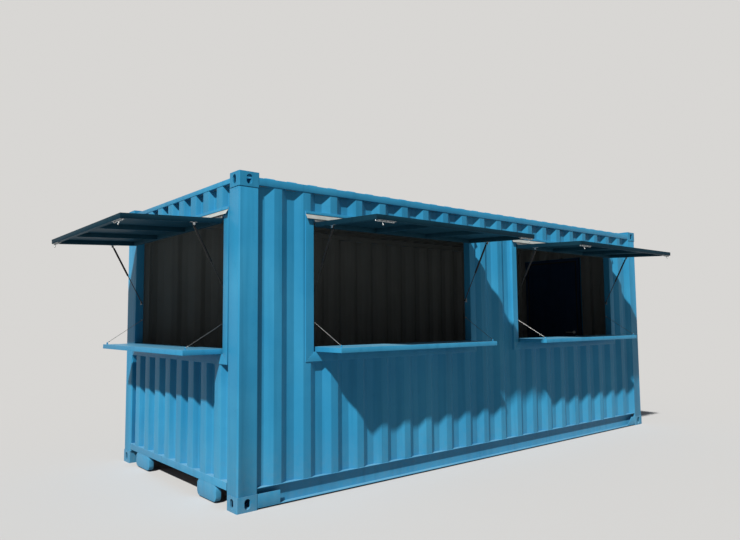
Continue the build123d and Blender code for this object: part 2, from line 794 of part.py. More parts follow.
for name, (face, width, reach) in hatches.items():
    strut_along = width / 2 - strut_from_jamb
    with BuildPart() as strut_rods:
        for side in (-1, 1):
            plane = strut_plane(face, side * strut_along)
            with BuildSketch(plane):
                with Locations((strut_eye_radius / 2, 0)):
                    Rectangle(strut_rod_length - strut_eye_radius / 2, strut_rod_radius,
                              align=(Align.MIN, Align.MIN))
            revolve(axis=Axis(plane.origin, plane.x_dir))
            with BuildSketch(plane):
                RegularPolygon(strut_eye_radius, strut_eye_sides)
            extrude(amount=strut_eye_width / 2, both=True)
    save(strut_rods, f"{name}_strut_rods")

    with BuildPart() as strut_tubes:
        top = strut_length - strut_neck
        low = top - strut_tube_length
        bore = strut_rod_radius + running_gap
        cap = strut_tube_radius
        for side in (-1, 1):
            plane = strut_plane(face, side * strut_along)
            with BuildSketch(plane):
                with BuildLine():
                    Polyline((low, bore), (low, strut_tube_radius), (top, strut_tube_radius), (top, 0),
                             (top - cap, 0), (top - cap, bore), close=True)
                make_face()
            revolve(axis=Axis(plane.origin, plane.x_dir))
            with BuildSketch(plane):
                with Locations((strut_length, 0)):
                    RegularPolygon(strut_eye_radius, strut_eye_sides)
                with Locations((top + strut_neck / 2, 0)):
                    Rectangle(strut_neck, strut_eye_width)
            extrude(amount=strut_eye_width / 2, both=True)
    save(strut_tubes, f"{name}_strut_tubes")

# Fittings on the jambs: a plate and stud for each strut's foot, and a lug for each wire stay
stay_jamb_up = hatch_bottom + stay_jamb_above_sill
with BuildPart() as jamb_fittings:
    for name, (face, width, reach) in hatches.items():
        strut_along = width / 2 - strut_from_jamb
        for side in (-1, 1):
            jamb = side * width / 2
            with BuildSketch(cut_view(face, jamb - side * bracket_thickness / 2, strut_foot_up,
                                      strut_foot_out)):
                plate = Rectangle(2 * bracket_half_width, 4 * bracket_half_width)
                chamfer(plate.vertices(), length=bracket_chamfer)
            extrude(amount=bracket_thickness / 2, both=True)
            stud_tip = side * (strut_along + strut_eye_width / 2 + running_gap)
            with BuildSketch(cut_view(face, (jamb + stud_tip) / 2, strut_foot_up, strut_foot_out)):
                RegularPolygon(stud_radius, stud_sides)
            extrude(amount=abs(jamb - stud_tip) / 2, both=True)
            with BuildSketch(cut_view(face, jamb - side * stay_lug_from_jamb / 2, stay_jamb_up,
                                      stay_jamb_out)):
                RegularPolygon(stay_lug_radius, stay_lug_sides)
            extrude(amount=stay_lug_from_jamb / 2, both=True)
save(jamb_fittings, "jamb_fittings")


# Counters: a sheet tray that lies on the sill, with a lug near each outer corner
def counter_plan(face, up):
    """A level plane at a height: first axis along the wall, second outwards, third down."""
    return Plane(place_on(face, 0, up, 0), x_dir=face.x_dir, z_dir=-face.y_dir)


counter_low = hatch_bottom + counter_seat_gap
counter_top = counter_low + counter_thickness
counter_back = counter_pivot_out + counter_edge_gap
stay_counter_up = counter_top + stay_counter_rise
for name, (face, width, reach) in hatches.items():
    counter_width = width - 2 * counter_side_gap
    counter_depth = reach - counter_back
    middle_out = (reach + counter_back) / 2
    bay = (counter_width - 2 * counter_sheet) / (counter_ribs + 1)
    lug_along = counter_width / 2 - stay_counter_from_end
    lug_out = reach - stay_counter_from_edge
    with BuildPart() as counter:
        with BuildSketch(counter_plan(face, counter_top)):
            with Locations((0, middle_out)):
                Rectangle(counter_width, counter_depth)
        extrude(amount=counter_thickness)
        with BuildSketch(counter_plan(face, counter_top - counter_sheet)):
            with Locations((0, middle_out)):
                with GridLocations(bay, 1, counter_ribs + 1, 1):
                    Rectangle(bay - counter_sheet, counter_depth - 2 * counter_sheet)
        extrude(amount=counter_thickness - counter_sheet, mode=Mode.SUBTRACT)
        for side in (-1, 1):
            with BuildSketch(cut_view(face, side * lug_along, stay_counter_up, lug_out)):
                RegularPolygon(stay_lug_radius, stay_lug_sides)
                with Locations((0, -stay_counter_rise / 2)):
                    Rectangle(2 * stay_lug_radius * cos(pi / stay_lug_sides), stay_counter_rise)
            extrude(amount=stay_lug_width / 2, both=True)
    save(counter, f"{name}_counter")

    with BuildPart() as counter_hinge:
        hinge_half(
            lambda along: cut_view(face, along, counter_pivot_up, counter_pivot_out), counter_width,
            (counter_edge_gap - hinge_leaf_thickness, counter_seat_gap - counter_pivot_rise,
             counter_edge_gap, counter_thickness - counter_pivot_rise), 1)
    save(counter_hinge, f"{name}_counter_hinge")

    # Wire stays run straight from the lug on each jamb to the lug on the counter
    with BuildPart() as stay_cables:
        for side in (-1, 1):
            foot = place_on(face, side * lug_along, stay_counter_up, lug_out)
            head = place_on(face, side * (width / 2 - stay_lug_from_jamb / 2), stay_jamb_up, stay_jamb_out)
            line = head - foot
            seat = stay_lug_radius + running_gap
            with BuildSketch(Plane(foot + line.normalized() * seat, z_dir=line)):
                RegularPolygon(stay_radius, stay_sides)
            extrude(amount=line.length - 2 * seat)
    save(stay_cables, f"{name}_stay_cables")

# Personnel door in the right-hand end, hinged at its +Y side to open outwards
door_face_x = half_length - door_frame_inset
door_frame_height = door_frame_top - end_sill_top
door_frame_plane = Plane((door_face_x, door_centre, end_sill_top + door_frame_height / 2),
                         x_dir=(0, 1, 0), z_dir=(-1, 0, 0))
with BuildPart() as door_frame:
    mitred_frame(door_frame_plane, door_frame_width, door_frame_height, door_frame_face,
                 door_frame_depth, door_frame_wall)
save(door_frame, "door_frame")

leaf_width = door_frame_width - 2 * door_frame_face - 2 * door_leaf_gap
leaf_height = door_frame_height - 2 * door_frame_face - 2 * door_leaf_gap
with BuildPart() as door_leaf:
    with BuildSketch(door_frame_plane):
        Rectangle(leaf_width, leaf_height)
    extrude(amount=door_leaf_thickness)
    with BuildSketch(door_frame_plane.offset(door_leaf_sheet)):
        Rectangle(leaf_width - 2 * door_leaf_sheet, leaf_height - 2 * door_leaf_sheet)
    extrude(amount=door_leaf_thickness - 2 * door_leaf_sheet, mode=Mode.SUBTRACT)
save(door_leaf, "door_leaf")

hinge_y = door_high_y - door_frame_face - door_leaf_gap / 2
hinge_x = door_face_x + door_pivot_out
hinge_heights = (end_sill_top + door_hinge_from_end, door_frame_plane.origin.Z,
                 door_frame_top - door_hinge_from_end)


def door_knuckles(low, high, side):
    """Half of each door hinge: a knuckle between two heights and its leaf, added to the part."""
    for middle in hinge_heights:
        with BuildSketch(Plane.XY.offset(middle + low)) as profile:
            with Locations((hinge_x, hinge_y)):
                RegularPolygon(door_hinge_radius, hinge_sides)
            with Locations((door_face_x, hinge_y)):
                Rectangle(door_hinge_leaf, door_hinge_leaf_width,
                          align=(Align.MIN, Align.MIN if side > 0 else Align.MAX))
        extrude(profile.sketch, amount=high - low)


with BuildPart() as door_frame_hinges:
    door_knuckles(-door_hinge_height / 2, -running_gap, 1)
save(door_frame_hinges, "door_frame_hinges")

with BuildPart() as door_leaf_hinges:
    door_knuckles(running_gap, door_hinge_height / 2, -1)
save(door_leaf_hinges, "door_leaf_hinges")

# Lever handles on both faces of the door, on one spindle
handle_y = door_centre - leaf_width / 2 + door_handle_from_edge
handle_z = floor_top + door_handle_height
with BuildPart() as door_handles:
    for face_x, out in ((door_face_x, 1), (door_face_x - door_leaf_thickness, -1)):
        outwards = Plane((face_x, handle_y, handle_z), x_dir=(0, 1, 0), z_dir=(out, 0, 0))
        with BuildSketch(outwards):
            Circle(door_rose_radius)
        extrude(amount=door_rose_thickness)
        with BuildSketch(outwards):
            Rectangle(door_handle_width, door_handle_width)
        extrude(amount=door_handle_rise)
        with BuildSketch(outwards.offset(door_handle_rise - door_handle_thickness)):
            with Locations((-door_handle_width / 2, 0)):
                Rectangle(door_handle_length, door_handle_width, align=(Align.MIN, Align.CENTER))
        extrude(amount=door_handle_thickness)
save(door_handles, "door_handles")

stroke_closed = hypot(awning_pivot_out - head_drop - strut_foot_out,
                      awning_pivot_up - strut_head_along - strut_foot_up)
lean_closed = atan2(awning_pivot_out - head_drop - strut_foot_out,
                    awning_pivot_up - strut_head_along - strut_foot_up)
print(f"strut foot out {strut_foot_out:.3f} up {strut_foot_up:.3f}; lean {degrees(strut_lean):.4f}")
print(f"strut length {strut_length:.3f} open, {stroke_closed:.3f} closed, lean {degrees(lean_closed):.4f}")
print(f"awning pivot out {awning_pivot_out:.3f} up {awning_pivot_up:.3f}")
print(f"counter pivot out {counter_pivot_out:.3f} up {counter_pivot_up:.3f}")
print(f"door pivot x {hinge_x:.3f} y {hinge_y:.3f}; end hatch width {end_hatch_width:.1f}")
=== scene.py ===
# %% [markdown]
# # A container cabin with three serving hatches
# A 20 foot steel shipping container was cut open on one long side and one end. Each opening
# has a welded frame, an awning on gas struts over it and a fold-down counter on wire stays
# below it. The frame that this script loads holds every piece at its real size and place,
# so the work here is to give each one the shape of its edges and bends, and its finish.

# %% Load the frame
import json
import math
from functools import partial

import bmesh
import bpy
import numpy as np
from mathutils import Matrix, Vector

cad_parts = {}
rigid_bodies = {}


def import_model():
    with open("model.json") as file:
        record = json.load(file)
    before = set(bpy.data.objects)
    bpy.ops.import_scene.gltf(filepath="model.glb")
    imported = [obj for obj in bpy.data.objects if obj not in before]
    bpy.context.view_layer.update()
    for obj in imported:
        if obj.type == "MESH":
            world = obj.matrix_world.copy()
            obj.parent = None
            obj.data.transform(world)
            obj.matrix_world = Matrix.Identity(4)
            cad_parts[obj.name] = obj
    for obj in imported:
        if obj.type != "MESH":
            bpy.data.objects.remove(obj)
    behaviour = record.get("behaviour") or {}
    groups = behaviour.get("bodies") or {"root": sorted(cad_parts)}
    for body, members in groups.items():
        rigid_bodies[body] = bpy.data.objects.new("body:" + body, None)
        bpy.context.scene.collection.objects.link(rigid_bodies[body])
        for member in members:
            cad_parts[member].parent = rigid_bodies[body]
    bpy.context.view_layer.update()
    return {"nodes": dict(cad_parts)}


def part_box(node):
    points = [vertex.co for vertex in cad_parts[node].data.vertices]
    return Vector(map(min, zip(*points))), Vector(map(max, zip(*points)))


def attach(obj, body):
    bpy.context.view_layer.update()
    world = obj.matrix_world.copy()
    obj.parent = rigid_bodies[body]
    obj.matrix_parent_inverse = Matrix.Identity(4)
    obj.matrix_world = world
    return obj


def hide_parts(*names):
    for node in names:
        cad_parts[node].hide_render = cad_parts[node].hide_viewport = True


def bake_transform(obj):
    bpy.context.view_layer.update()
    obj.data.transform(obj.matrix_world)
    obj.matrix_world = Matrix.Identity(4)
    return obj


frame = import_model()
nodes = frame["nodes"]

# %% [markdown]
# ## One way to write a node
# Every material below is a handful of shader nodes. A single helper adds a node, sets its
# values and links what is handed to it, so a material reads as a list of its layers.

# %% Colours and nodes
def linear(code):
    """A hex sRGB colour as linear RGBA: c/12.92 below 0.04045, else ((c + 0.055)/1.055)^2.4."""
    c = np.array([int(code[i:i + 2], 16) for i in (1, 3, 5)]) / 255
    low, high = c / 12.92, ((c + 0.055) / 1.055) ** 2.4
    return (*np.where(c <= 0.04045, low, high).tolist(), 1.0)

def add(tree, kind, inputs=None, **settings):
    """Adds a shader node of a kind with its settings.

    An input takes a number, a hex colour or what to link. A node that is handed in is linked
    from the first of its outputs that is in use.
    """
    node = tree.nodes.new("ShaderNode" + kind)
    for key, value in settings.items():
        setattr(node, key, value)
    for key, value in (inputs or {}).items():
        if isinstance(value, bpy.types.Node):
            value = next(output for output in value.outputs if output.enabled)
        if isinstance(value, bpy.types.NodeSocket):
            tree.links.new(value, node.inputs[key])
        else:
            node.inputs[key].default_value = linear(value) if isinstance(value, str) else value
    return node

def new_material(name):
    """An empty node material, and its tree."""
    material = bpy.data.materials.new(name)
    material.use_nodes = True
    material.node_tree.nodes.clear()
    return material, material.node_tree

def laid_on(tree, colour, tint, noise, low, high, strength=None):
    """A colour under a tint whose share goes from 0 where the noise is low to 1 where it is high.

    A strength, where one is given, is a node that multiplies this share.
    """
    share = add(tree, "MapRange", {"Value": noise, "From Min": low, "From Max": high})
    if strength:
        share = add(tree, "Math", {0: strength, 1: share}, operation="MULTIPLY")
    return add(tree, "Mix", {0: share, 6: colour, 7: tint}, data_type="RGBA")

print("sRGB mid grey is", round(linear("#808080")[0], 3), "in linear light")

# %% [markdown]
# ## Paint on steel
# The cabin was sprayed with one coat of blue alkyd enamel over old container steel. The sheet
# under it is not quite flat, the coat is faded in broad patches, rain has drawn thin streaks
# down it, and dust from the yard clings to its lowest half metre. Each of these is a layer
# of noise at its own real size: patches near a metre, streaks a few centimetres wide. Faces
# that look up, such as the counters' tops and the roof, also take a pale bluish film that is
# partly dust lying on them and partly a painted reflection of the sky.

# %% Paint
# The pale bluish film on faces that look up is partly dust and partly a painted reflection of the
# sky.
YARD_DUST, SETTLED_DUST_AND_SKY_SHEEN, RUST = "#A79D8A", "#86ACBC", "#5A3A2A"

def paint(name, base, faded, deep, roughness, dust=0.0, chips=0.0, dents=0.25, dust_and_sky_sheen=0.0,
          gloss=0.18):
    """Enamel on steel: fading in patches, rain streaks, ground dust, chips and shallow dents."""
    material, tree = new_material(name)
    place = add(tree, "TexCoord").outputs["Object"]
    stretched = add(tree, "Mapping", {"Vector": place, "Scale": (14.0, 14.0, 0.7)})
    patches, streaks, mottle, waves, peel = (
        add(tree, "TexNoise",
            {"Vector": source, "Scale": scale, "Detail": detail, "Roughness": mixing})
        for source, scale, detail, mixing in (
            (place, 1.3, 5.0, 0.55), (stretched, 1.0, 3.0, 0.5), (place, 22.0, 4.0, 0.6),
            (place, 3.4, 2.0, 0.5), (place, 260.0, 1.0, 0.5)))
    colour = laid_on(tree, base, faded, patches, 0.35, 0.68)
    colour = laid_on(tree, colour, deep, streaks, 0.52, 0.95)
    colour = laid_on(tree, colour, deep, mottle, 0.62, 1.0)
    if dust:
        height = add(tree, "SeparateXYZ", {0: place}).outputs[2]
        low = add(tree, "MapRange", {"Value": height, "From Max": 0.55, "To Min": dust,
                                    "To Max": 0.0})
        colour = laid_on(tree, colour, YARD_DUST, mottle, 0.2, 0.7, strength=low)
    if dust_and_sky_sheen:
        # Faces that look up are lightened with the pale bluish film: partly dust, partly painted
        # sky reflection.
        normal = add(tree, "NewGeometry").outputs["Normal"]
        facing = add(tree, "SeparateXYZ", {0: normal}).outputs[2]
        level = add(tree, "MapRange", {"Value": facing, "From Min": 0.8,
                                      "From Max": 0.98, "To Max": dust_and_sky_sheen})
        colour = laid_on(tree, colour, SETTLED_DUST_AND_SKY_SHEEN, patches, 0.1, 0.6, strength=level)
    if chips:
        flakes = add(tree, "TexNoise", {"Vector": place, "Scale": 34.0, "Detail": 8.0,
                                       "Roughness": 0.7})
        colour = laid_on(tree, colour, RUST, flakes, 0.74 - chips, 0.76 - chips)
    sheen = add(tree, "MapRange", {"Value": patches, "To Min": roughness - 0.07,
                                  "To Max": roughness + 0.1})
    hollow = add(tree, "Bump", {"Height": waves, "Strength": dents, "Distance": 0.02})
    skin = add(tree, "Bump", {"Height": peel, "Normal": hollow, "Strength": 0.06,
                                       "Distance": 0.002})
    shader = add(tree, "BsdfPrincipled", {
        "Base Color": colour, "Roughness": sheen, "IOR": 1.5, "Specular IOR Level": gloss,
        "Normal": skin})
    add(tree, "OutputMaterial", {0: shader})
    return material

blue_enamel = paint("blue_alkyd_enamel", "#2984B1", "#3891BB", "#1F769F", 0.42, dust=0.12,
                    dust_and_sky_sheen=0.45)
casting_enamel = paint("blue_enamel_on_cast_steel", "#2881AC", "#378CB5", "#1F7098", 0.48,
                       dust=0.2, chips=0.03, dust_and_sky_sheen=0.3)
roof_enamel = paint("blue_enamel_on_roof_sheet", "#2884AF", "#3F8DB2", "#1E739A", 0.5,
                    dents=0.4, dust_and_sky_sheen=0.3)
# The awnings' one slate paint in two shades, as painted shade and painted light: the darker for
# the outline faces, the lighter for the faces that look down.
slate_enamel = paint("slate_blue_enamel", "#0F2C3B", "#153543", "#0B2430", 0.52, gloss=0.03)
slate_painted_lighter_below = paint("slate_blue_enamel_painted_lighter_below", "#1D4456", "#234C5E", "#183A4A", 0.5,
                        gloss=0.05)
charcoal_enamel = paint("charcoal_enamel_inside", "#7F8483", "#898D8C", "#757978", 0.55)
underframe_black = paint("bituminous_underframe_coat", "#22282B", "#2E3230", "#1A1D1F", 0.7,
                         dust=0.8)
navy_enamel = paint("navy_door_enamel", "#1D3454", "#243E60", "#172B47", 0.4, dust=0.2)
black_enamel = paint("black_stoved_enamel", "#141618", "#1B1D1F", "#0F1011", 0.3, dents=0.0)
print("paints made:", len(bpy.data.materials))

# %% [markdown]
# ## Bare metal, rubber and plywood
# The hinges, brackets and bolts are zinc-plated steel, which is bright but milky. The strut's
# rod is nitrided, nearly black. The stays are stainless wire. The flap over each awning's
# hinge is pale grey rubber. Metal and rubber differ in colour, gloss and the size of their
# clouding, so one function makes them all. The floor is the container's own 28 mm hardwood
# plywood, laid in boards across the cross members and worn by years of cargo.

# %% Metals, rubber and plywood
def clouded(name, base, dull, roughness, scale, metallic=1.0):
    """A milky variation of colour and roughness at the given scale per metre."""
    material, tree = new_material(name)
    place = add(tree, "TexCoord").outputs["Object"]
    cloud = add(tree, "TexNoise", {"Vector": place, "Scale": scale, "Detail": 4.0})
    rough = add(tree, "MapRange", {"Value": cloud, "To Min": roughness - 0.1,
                                  "To Max": roughness + 0.12})
    grain = add(tree, "Bump", {"Height": cloud, "Strength": 0.08, "Distance": 0.001})
    shader = add(tree, "BsdfPrincipled", {
        "Base Color": laid_on(tree, base, dull, cloud, 0.35, 0.7), "Roughness": rough,
        "Metallic": metallic, "Normal": grain})
    add(tree, "OutputMaterial", {0: shader})
    return material

zinc_plate = clouded("zinc_plated_steel", "#B4B8BA", "#8E9294", 0.38, 90.0)
nitrided = clouded("nitrided_rod_steel", "#3A3C3E", "#2A2C2E", 0.25, 60.0)
stainless = clouded("stainless_wire", "#8E9090", "#747676", 0.42, 300.0)
grey_rubber = clouded("pale_grey_rubber", "#A9AEAD", "#969C9B", 0.7, 14.0, metallic=0.0)
black_rubber = clouded("black_rubber", "#191A1A", "#222323", 0.7, 30.0, metallic=0.0)
handle_metal = clouded("satin_stainless_handle", "#B9BBBC", "#9FA1A2", 0.32, 120.0)

def plywood(name):
    """Worn hardwood plywood: grain stretched along the board, stains, and seams between boards."""
    material, tree = new_material(name)
    place = add(tree, "TexCoord").outputs["Object"]
    along = add(tree, "Mapping", {"Vector": place, "Scale": (3.0, 45.0, 45.0)})
    grain = add(tree, "TexNoise", {"Vector": along, "Scale": 1.0, "Detail": 6.0})
    stains = add(tree, "TexNoise", {"Vector": place, "Scale": 2.2, "Detail": 5.0})
    colour = laid_on(tree, "#6B4A33", "#4B3324", grain, 0.3, 0.75)
    colour = laid_on(tree, colour, "#2F241C", stains, 0.5, 0.85)
    boards = add(tree, "TexBrick", {
        "Vector": place, "Color1": "#FFFFFF", "Color2": "#E4DFDA", "Mortar": "#3A3430",
        "Scale": 1.0, "Mortar Size": 0.003, "Brick Width": 2.4, "Row Height": 1.16})
    tinted = add(tree, "Mix", {0: 1.0, 6: colour, 7: boards}, data_type="RGBA",
                 blend_type="MULTIPLY")
    relief = add(tree, "Bump", {"Height": grain, "Strength": 0.2, "Distance": 0.002})
    shader = add(tree, "BsdfPrincipled", {"Base Color": tinted, "Roughness": 0.62,
                                         "Normal": relief})
    add(tree, "OutputMaterial", {0: shader})
    return material

floor_ply = plywood("hardwood_plywood")
print("materials made:", len(bpy.data.materials))

# %% [markdown]
# ## Surfaces as arrays
# New pieces are points worked out in millimetres as whole arrays, then put into one mesh. A
# grid of points becomes quads; a flat outline becomes one face. A piece may carry several
# materials, one index for each of its surfaces, because the sheet's two sides differ.

# %% From arrays to a mesh
MM = 0.001
SHARP_ANGLE = math.radians(35)

def grid_faces(rows, columns, close_rows=False, close_columns=False):
    """Quads of a grid numbered row by row: (r, c), (r, c+1), (r+1, c+1), (r+1, c)."""
    r = np.arange(rows if close_rows else rows - 1)[:, None]
    c = np.arange(columns if close_columns else columns - 1)[None, :]
    r2, c2 = (r + 1) % rows, (c + 1) % columns
    quads = np.stack([r * columns + c, r * columns + c2, r2 * columns + c2, r2 * columns + c], -1)
    return quads.reshape(-1, 4).tolist()

def tube_faces(rows, sides):
    """The quads between rings of points, and one face over each end."""
    ends = [list(range(sides)), list(range((rows - 1) * sides, rows * sides))]
    return grid_faces(rows, sides, close_columns=True) + ends

def closed_mesh(name, points, faces, numbers=None):
    """A mesh from points in mm, with its doubles merged and its faces turned outwards."""
    mesh = bpy.data.meshes.new(name)
    mesh.from_pydata((np.asarray(points) * MM).tolist(), [], faces)
    mesh.polygons.foreach_set("material_index", numbers or [0] * len(faces))
    made = bmesh.new()
    made.from_mesh(mesh)
    bmesh.ops.remove_doubles(made, verts=made.verts, dist=1e-6)
    bmesh.ops.recalc_face_normals(made, faces=made.faces)
    made.to_mesh(mesh)
    made.free()
    return mesh

def new_object(name, data):
    """A mesh, lamp or lens as an object at the origin of the scene."""
    thing = bpy.data.objects.new(name, data)
    bpy.context.scene.collection.objects.link(thing)
    return thing

def join_frame(piece, body, slot, *replaced):
    """Names the body that moves a piece and the CAD nodes that it stands for. slot is not used."""
    if body:
        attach(piece, body)
    if replaced:
        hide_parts(*replaced)
    return piece

def make_piece(name, surfaces, materials, body, slot, *replaced):
    """One mesh from surfaces of (points in mm, faces, and a material number if it isn't 0)."""
    points, faces, numbers, count = [], [], [], 0
    for surface_points, surface_faces, *number in surfaces:
        points.append(np.asarray(surface_points, float).reshape(-1, 3))
        faces += [[index + count for index in face] for face in surface_faces]
        numbers += (number or [0]) * len(surface_faces)
        count += len(points[-1])
    mesh = closed_mesh(name, np.concatenate(points), faces, numbers)
    for material in materials:
        mesh.materials.append(material)
    mesh.shade_smooth()
    mesh.set_sharp_from_angle(angle=SHARP_ANGLE)
    return join_frame(new_object(name, mesh), body, slot, *replaced)

def report(text):
    """Prints a line with the number of faces made so far."""
    total = sum(len(o.data.polygons) for o in bpy.data.objects if o.type == "MESH")
    print(f"{text}; {total} faces in the scene")

report("the frame as it was loaded")

# %% [markdown]
# ## Corrugated sheet
# Container walls are 2 mm weathering steel folded in a press, so every bend is round, with a
# radius of about five sheet thicknesses. That roundness is what catches the light as soft
# vertical lines. The line of the wall is a repeating trapezium; its corners are replaced by
# arcs, and the second side of the sheet is the same line moved along its own normals.

# %% Folded lines
def bent_line(points, radius, steps=6):
    """A line with round corners.

    The arc leaves the line r*tan(turn/2) before a corner. Its centre lies r to the inside, and
    its points are the centre plus r times a direction that turns evenly.
    """
    p = np.asarray(points, float)
    before, after = p[1:-1] - p[:-2], p[2:] - p[1:-1]
    d1 = before / np.linalg.norm(before, axis=1, keepdims=True)
    d2 = after / np.linalg.norm(after, axis=1, keepdims=True)
    turn = np.arctan2(d1[:, 0] * d2[:, 1] - d1[:, 1] * d2[:, 0], (d1 * d2).sum(1))
    inwards = np.sign(turn)[:, None] * np.stack([-d1[:, 1], d1[:, 0]], 1)
    centre = p[1:-1] - d1 * (radius * np.tan(np.abs(turn) / 2))[:, None] + inwards * radius
    angle = turn[:, None] * np.linspace(0, 1, steps + 1)
    x = -inwards[:, None, 0] * np.cos(angle) + inwards[:, None, 1] * np.sin(angle)
    y = -inwards[:, None, 0] * np.sin(angle) - inwards[:, None, 1] * np.cos(angle)
    arcs = centre[:, None] + radius * np.stack([x, y], -1)
    return np.concatenate([p[:1], arcs.reshape(-1, 2), p[-1:]])

def corrugation(start, end, first, pitch, ridge, slope, depth, radius):
    """The wall's line as (along, inset) points: inset 0 on ridges, the depth in troughs."""
    stops = np.array([0, ridge, ridge + slope, pitch - slope, pitch], float)
    insets = np.array([0, 0, depth, depth, 0], float)
    turns = np.arange(math.floor((start - first) / pitch) - 1,
                      math.ceil((end - first) / pitch) + 1)
    along = (first + turns[:, None] * pitch + stops[:4]).ravel()
    along = np.concatenate([[start], along[(along > start + 1) & (along < end - 1)], [end]])
    inset = np.interp((along - first) % pitch, stops, insets)
    return bent_line(np.stack([along, inset], 1), radius)

SHEET = 2.0

def wall_surfaces(line, place, bottom, top):
    """A folded sheet between two heights: outer side, top edge, inner side, lower edge, ends."""
    step = np.gradient(line, axis=0)
    normal = np.stack([-step[:, 1], step[:, 0]], 1) / np.linalg.norm(step, axis=1, keepdims=True)
    inner = line + normal * SHEET
    rows = [(line, bottom), (line, top), (inner, top), (inner, bottom)]
    points = np.stack([place(row[:, 0], row[:, 1], height) for row, height in rows])
    count = len(line)
    quads = grid_faces(4, count, close_rows=True)
    strips = [quads[i * (count - 1):(i + 1) * (count - 1)] for i in range(4)]
    ends = [[i * count for i in range(4)], [i * count + count - 1 for i in range(4)]]
    flat = points.reshape(-1, 3)
    return [(flat, strips[0] + strips[1] + strips[3] + ends), (flat, strips[2], 1)]

print("a square corner becomes", len(bent_line([(0, 0), (9, 0), (9, 9)], 3)), "points")

# %% [markdown]
# ## Where each wall stands
# Ridge, trough and slope of the long walls are each about 70 mm wide; the end walls' fold is
# deeper and steeper. Posts, hatches and the door cut the walls into sheets, so each wall is
# a list of sheets with a start, an end, a bottom and a top.

# %% Walls
RIDGE_PLANE = {"x": 3022.0, "y": 1212.0}
SIDE = dict(first=-2712.0, pitch=278.0, ridge=72.0, slope=68.0, depth=36.0, radius=12.0)
END = dict(first=70.0, pitch=250.0, ridge=110.0, slope=18.0, depth=46.0, radius=9.0)
RAIL_LOW, RAIL_HIGH, SILL, END_RAIL = 162.0, 2493.0, 200.0, 2513.0
FRAME_LOW, FRAME_HIGH = 1090.0, 2336.0
POST, END_POST, HATCH_OUTER, HATCH_INNER = 2851, 1045, 2415, 310
DOOR_LEFT, DOOR_RIGHT, DOOR_TOP, DOOR_GAP = -380, 560, 2316, 0.3

def wall_plane(facing, side):
    """A place function for the wall on side -1 or 1 of an axis; insets run inwards from it."""
    def place(along, inset, z):
        depth = side * (RIDGE_PLANE[facing] - inset)
        flat = (depth, along) if facing == "x" else (along, depth)
        return np.stack([*flat, np.full_like(along, z)], -1)
    return place

front, back = wall_plane("y", -1), wall_plane("y", 1)
left_end, right_end = wall_plane("x", -1), wall_plane("x", 1)
piers = (-POST, -HATCH_OUTER), (-HATCH_INNER, HATCH_INNER), (HATCH_OUTER, POST)
spans = (-HATCH_OUTER, -HATCH_INNER), (HATCH_INNER, HATCH_OUTER)
walls = {
    "front_wall_piers": (front, SIDE, [(*pier, RAIL_LOW, RAIL_HIGH) for pier in piers]),
    "front_wall_under_hatches": (front, SIDE, [(*span, RAIL_LOW, FRAME_LOW) for span in spans]),
    "front_wall_over_hatches": (front, SIDE, [(*span, FRAME_HIGH, RAIL_HIGH) for span in spans]),
    "back_wall": (back, SIDE, [(-POST, POST, RAIL_LOW, RAIL_HIGH)]),
    "left_end_wall": (left_end, END, [(-END_POST, END_POST, SILL, FRAME_LOW),
                                      (-END_POST, END_POST, FRAME_HIGH, END_RAIL)]),
    "right_end_wall": (right_end, END, [
        (-END_POST, DOOR_LEFT, SILL, END_RAIL), (DOOR_RIGHT, END_POST, SILL, END_RAIL),
        (DOOR_LEFT + DOOR_GAP, DOOR_RIGHT - DOOR_GAP, DOOR_TOP, END_RAIL)]),
}
for node, (place, fold, sheets) in walls.items():
    surfaces = []
    for start, end, bottom, top in sheets:
        surfaces += wall_surfaces(corrugation(start, end, **fold), place, bottom, top)
    make_piece(node + "_folded", surfaces, [blue_enamel, charcoal_enamel], "root",
               "wall_sheet", node)
report("folded walls")

# %% [markdown]
# ## Weld beads
# Where a wall meets a post the joint was welded from outside. A bead is a round bar of filler
# half sunk in the corner, a few millimetres thick, so each is a thin tube with many short
# swells along it. The tube is a circle carried along a line, which later makes wire too.

# %% Tubes and beads
def normals_to(direction, reference):
    """Two unit normals of a direction: n1 = direction x reference, n2 = direction x n1."""
    n1 = np.cross(direction, np.asarray(reference, float))
    n1 /= np.linalg.norm(n1, axis=-1, keepdims=True)
    return n1, np.cross(direction, n1)

def spokes(n1, n2, sides):
    """Unit directions round a tube: cos t n1 + sin t n2, at even steps of t."""
    t = np.arange(sides)[:, None] * 2 * np.pi / sides
    return np.cos(t) * n1[..., None, :] + np.sin(t) * n2[..., None, :]

def carried(path, radius, reference, sides, closed=False):
    """A circle carried along a path: p + r (cos t n1 + sin t n2), n1 = tangent x reference."""
    path = np.asarray(path, float)
    radius = np.broadcast_to(np.asarray(radius, float), len(path))[:, None, None]
    tangent = np.roll(path, -1, 0) - np.roll(path, 1, 0) if closed else np.gradient(path, axis=0)
    tangent /= np.linalg.norm(tangent, axis=1, keepdims=True)
    points = path[:, None] + radius * spokes(*normals_to(tangent, reference), sides)
    faces = (grid_faces(len(path), sides, close_rows=True, close_columns=True) if closed
             else tube_faces(len(path), sides))
    return points.reshape(-1, 3), faces

def bead(x, y, low, high, step=24.0):
    """An upright bead: radius 2.6 + 0.5 |sin(pi z / step)| about the joint's line."""
    z = np.arange(low, high, step / 3)
    path = np.column_stack([np.full_like(z, x), np.full_like(z, y), z])
    return carried(path, 2.6 + 0.5 * np.abs(np.sin(np.pi * z / step)), (0, -1, 0), 8)

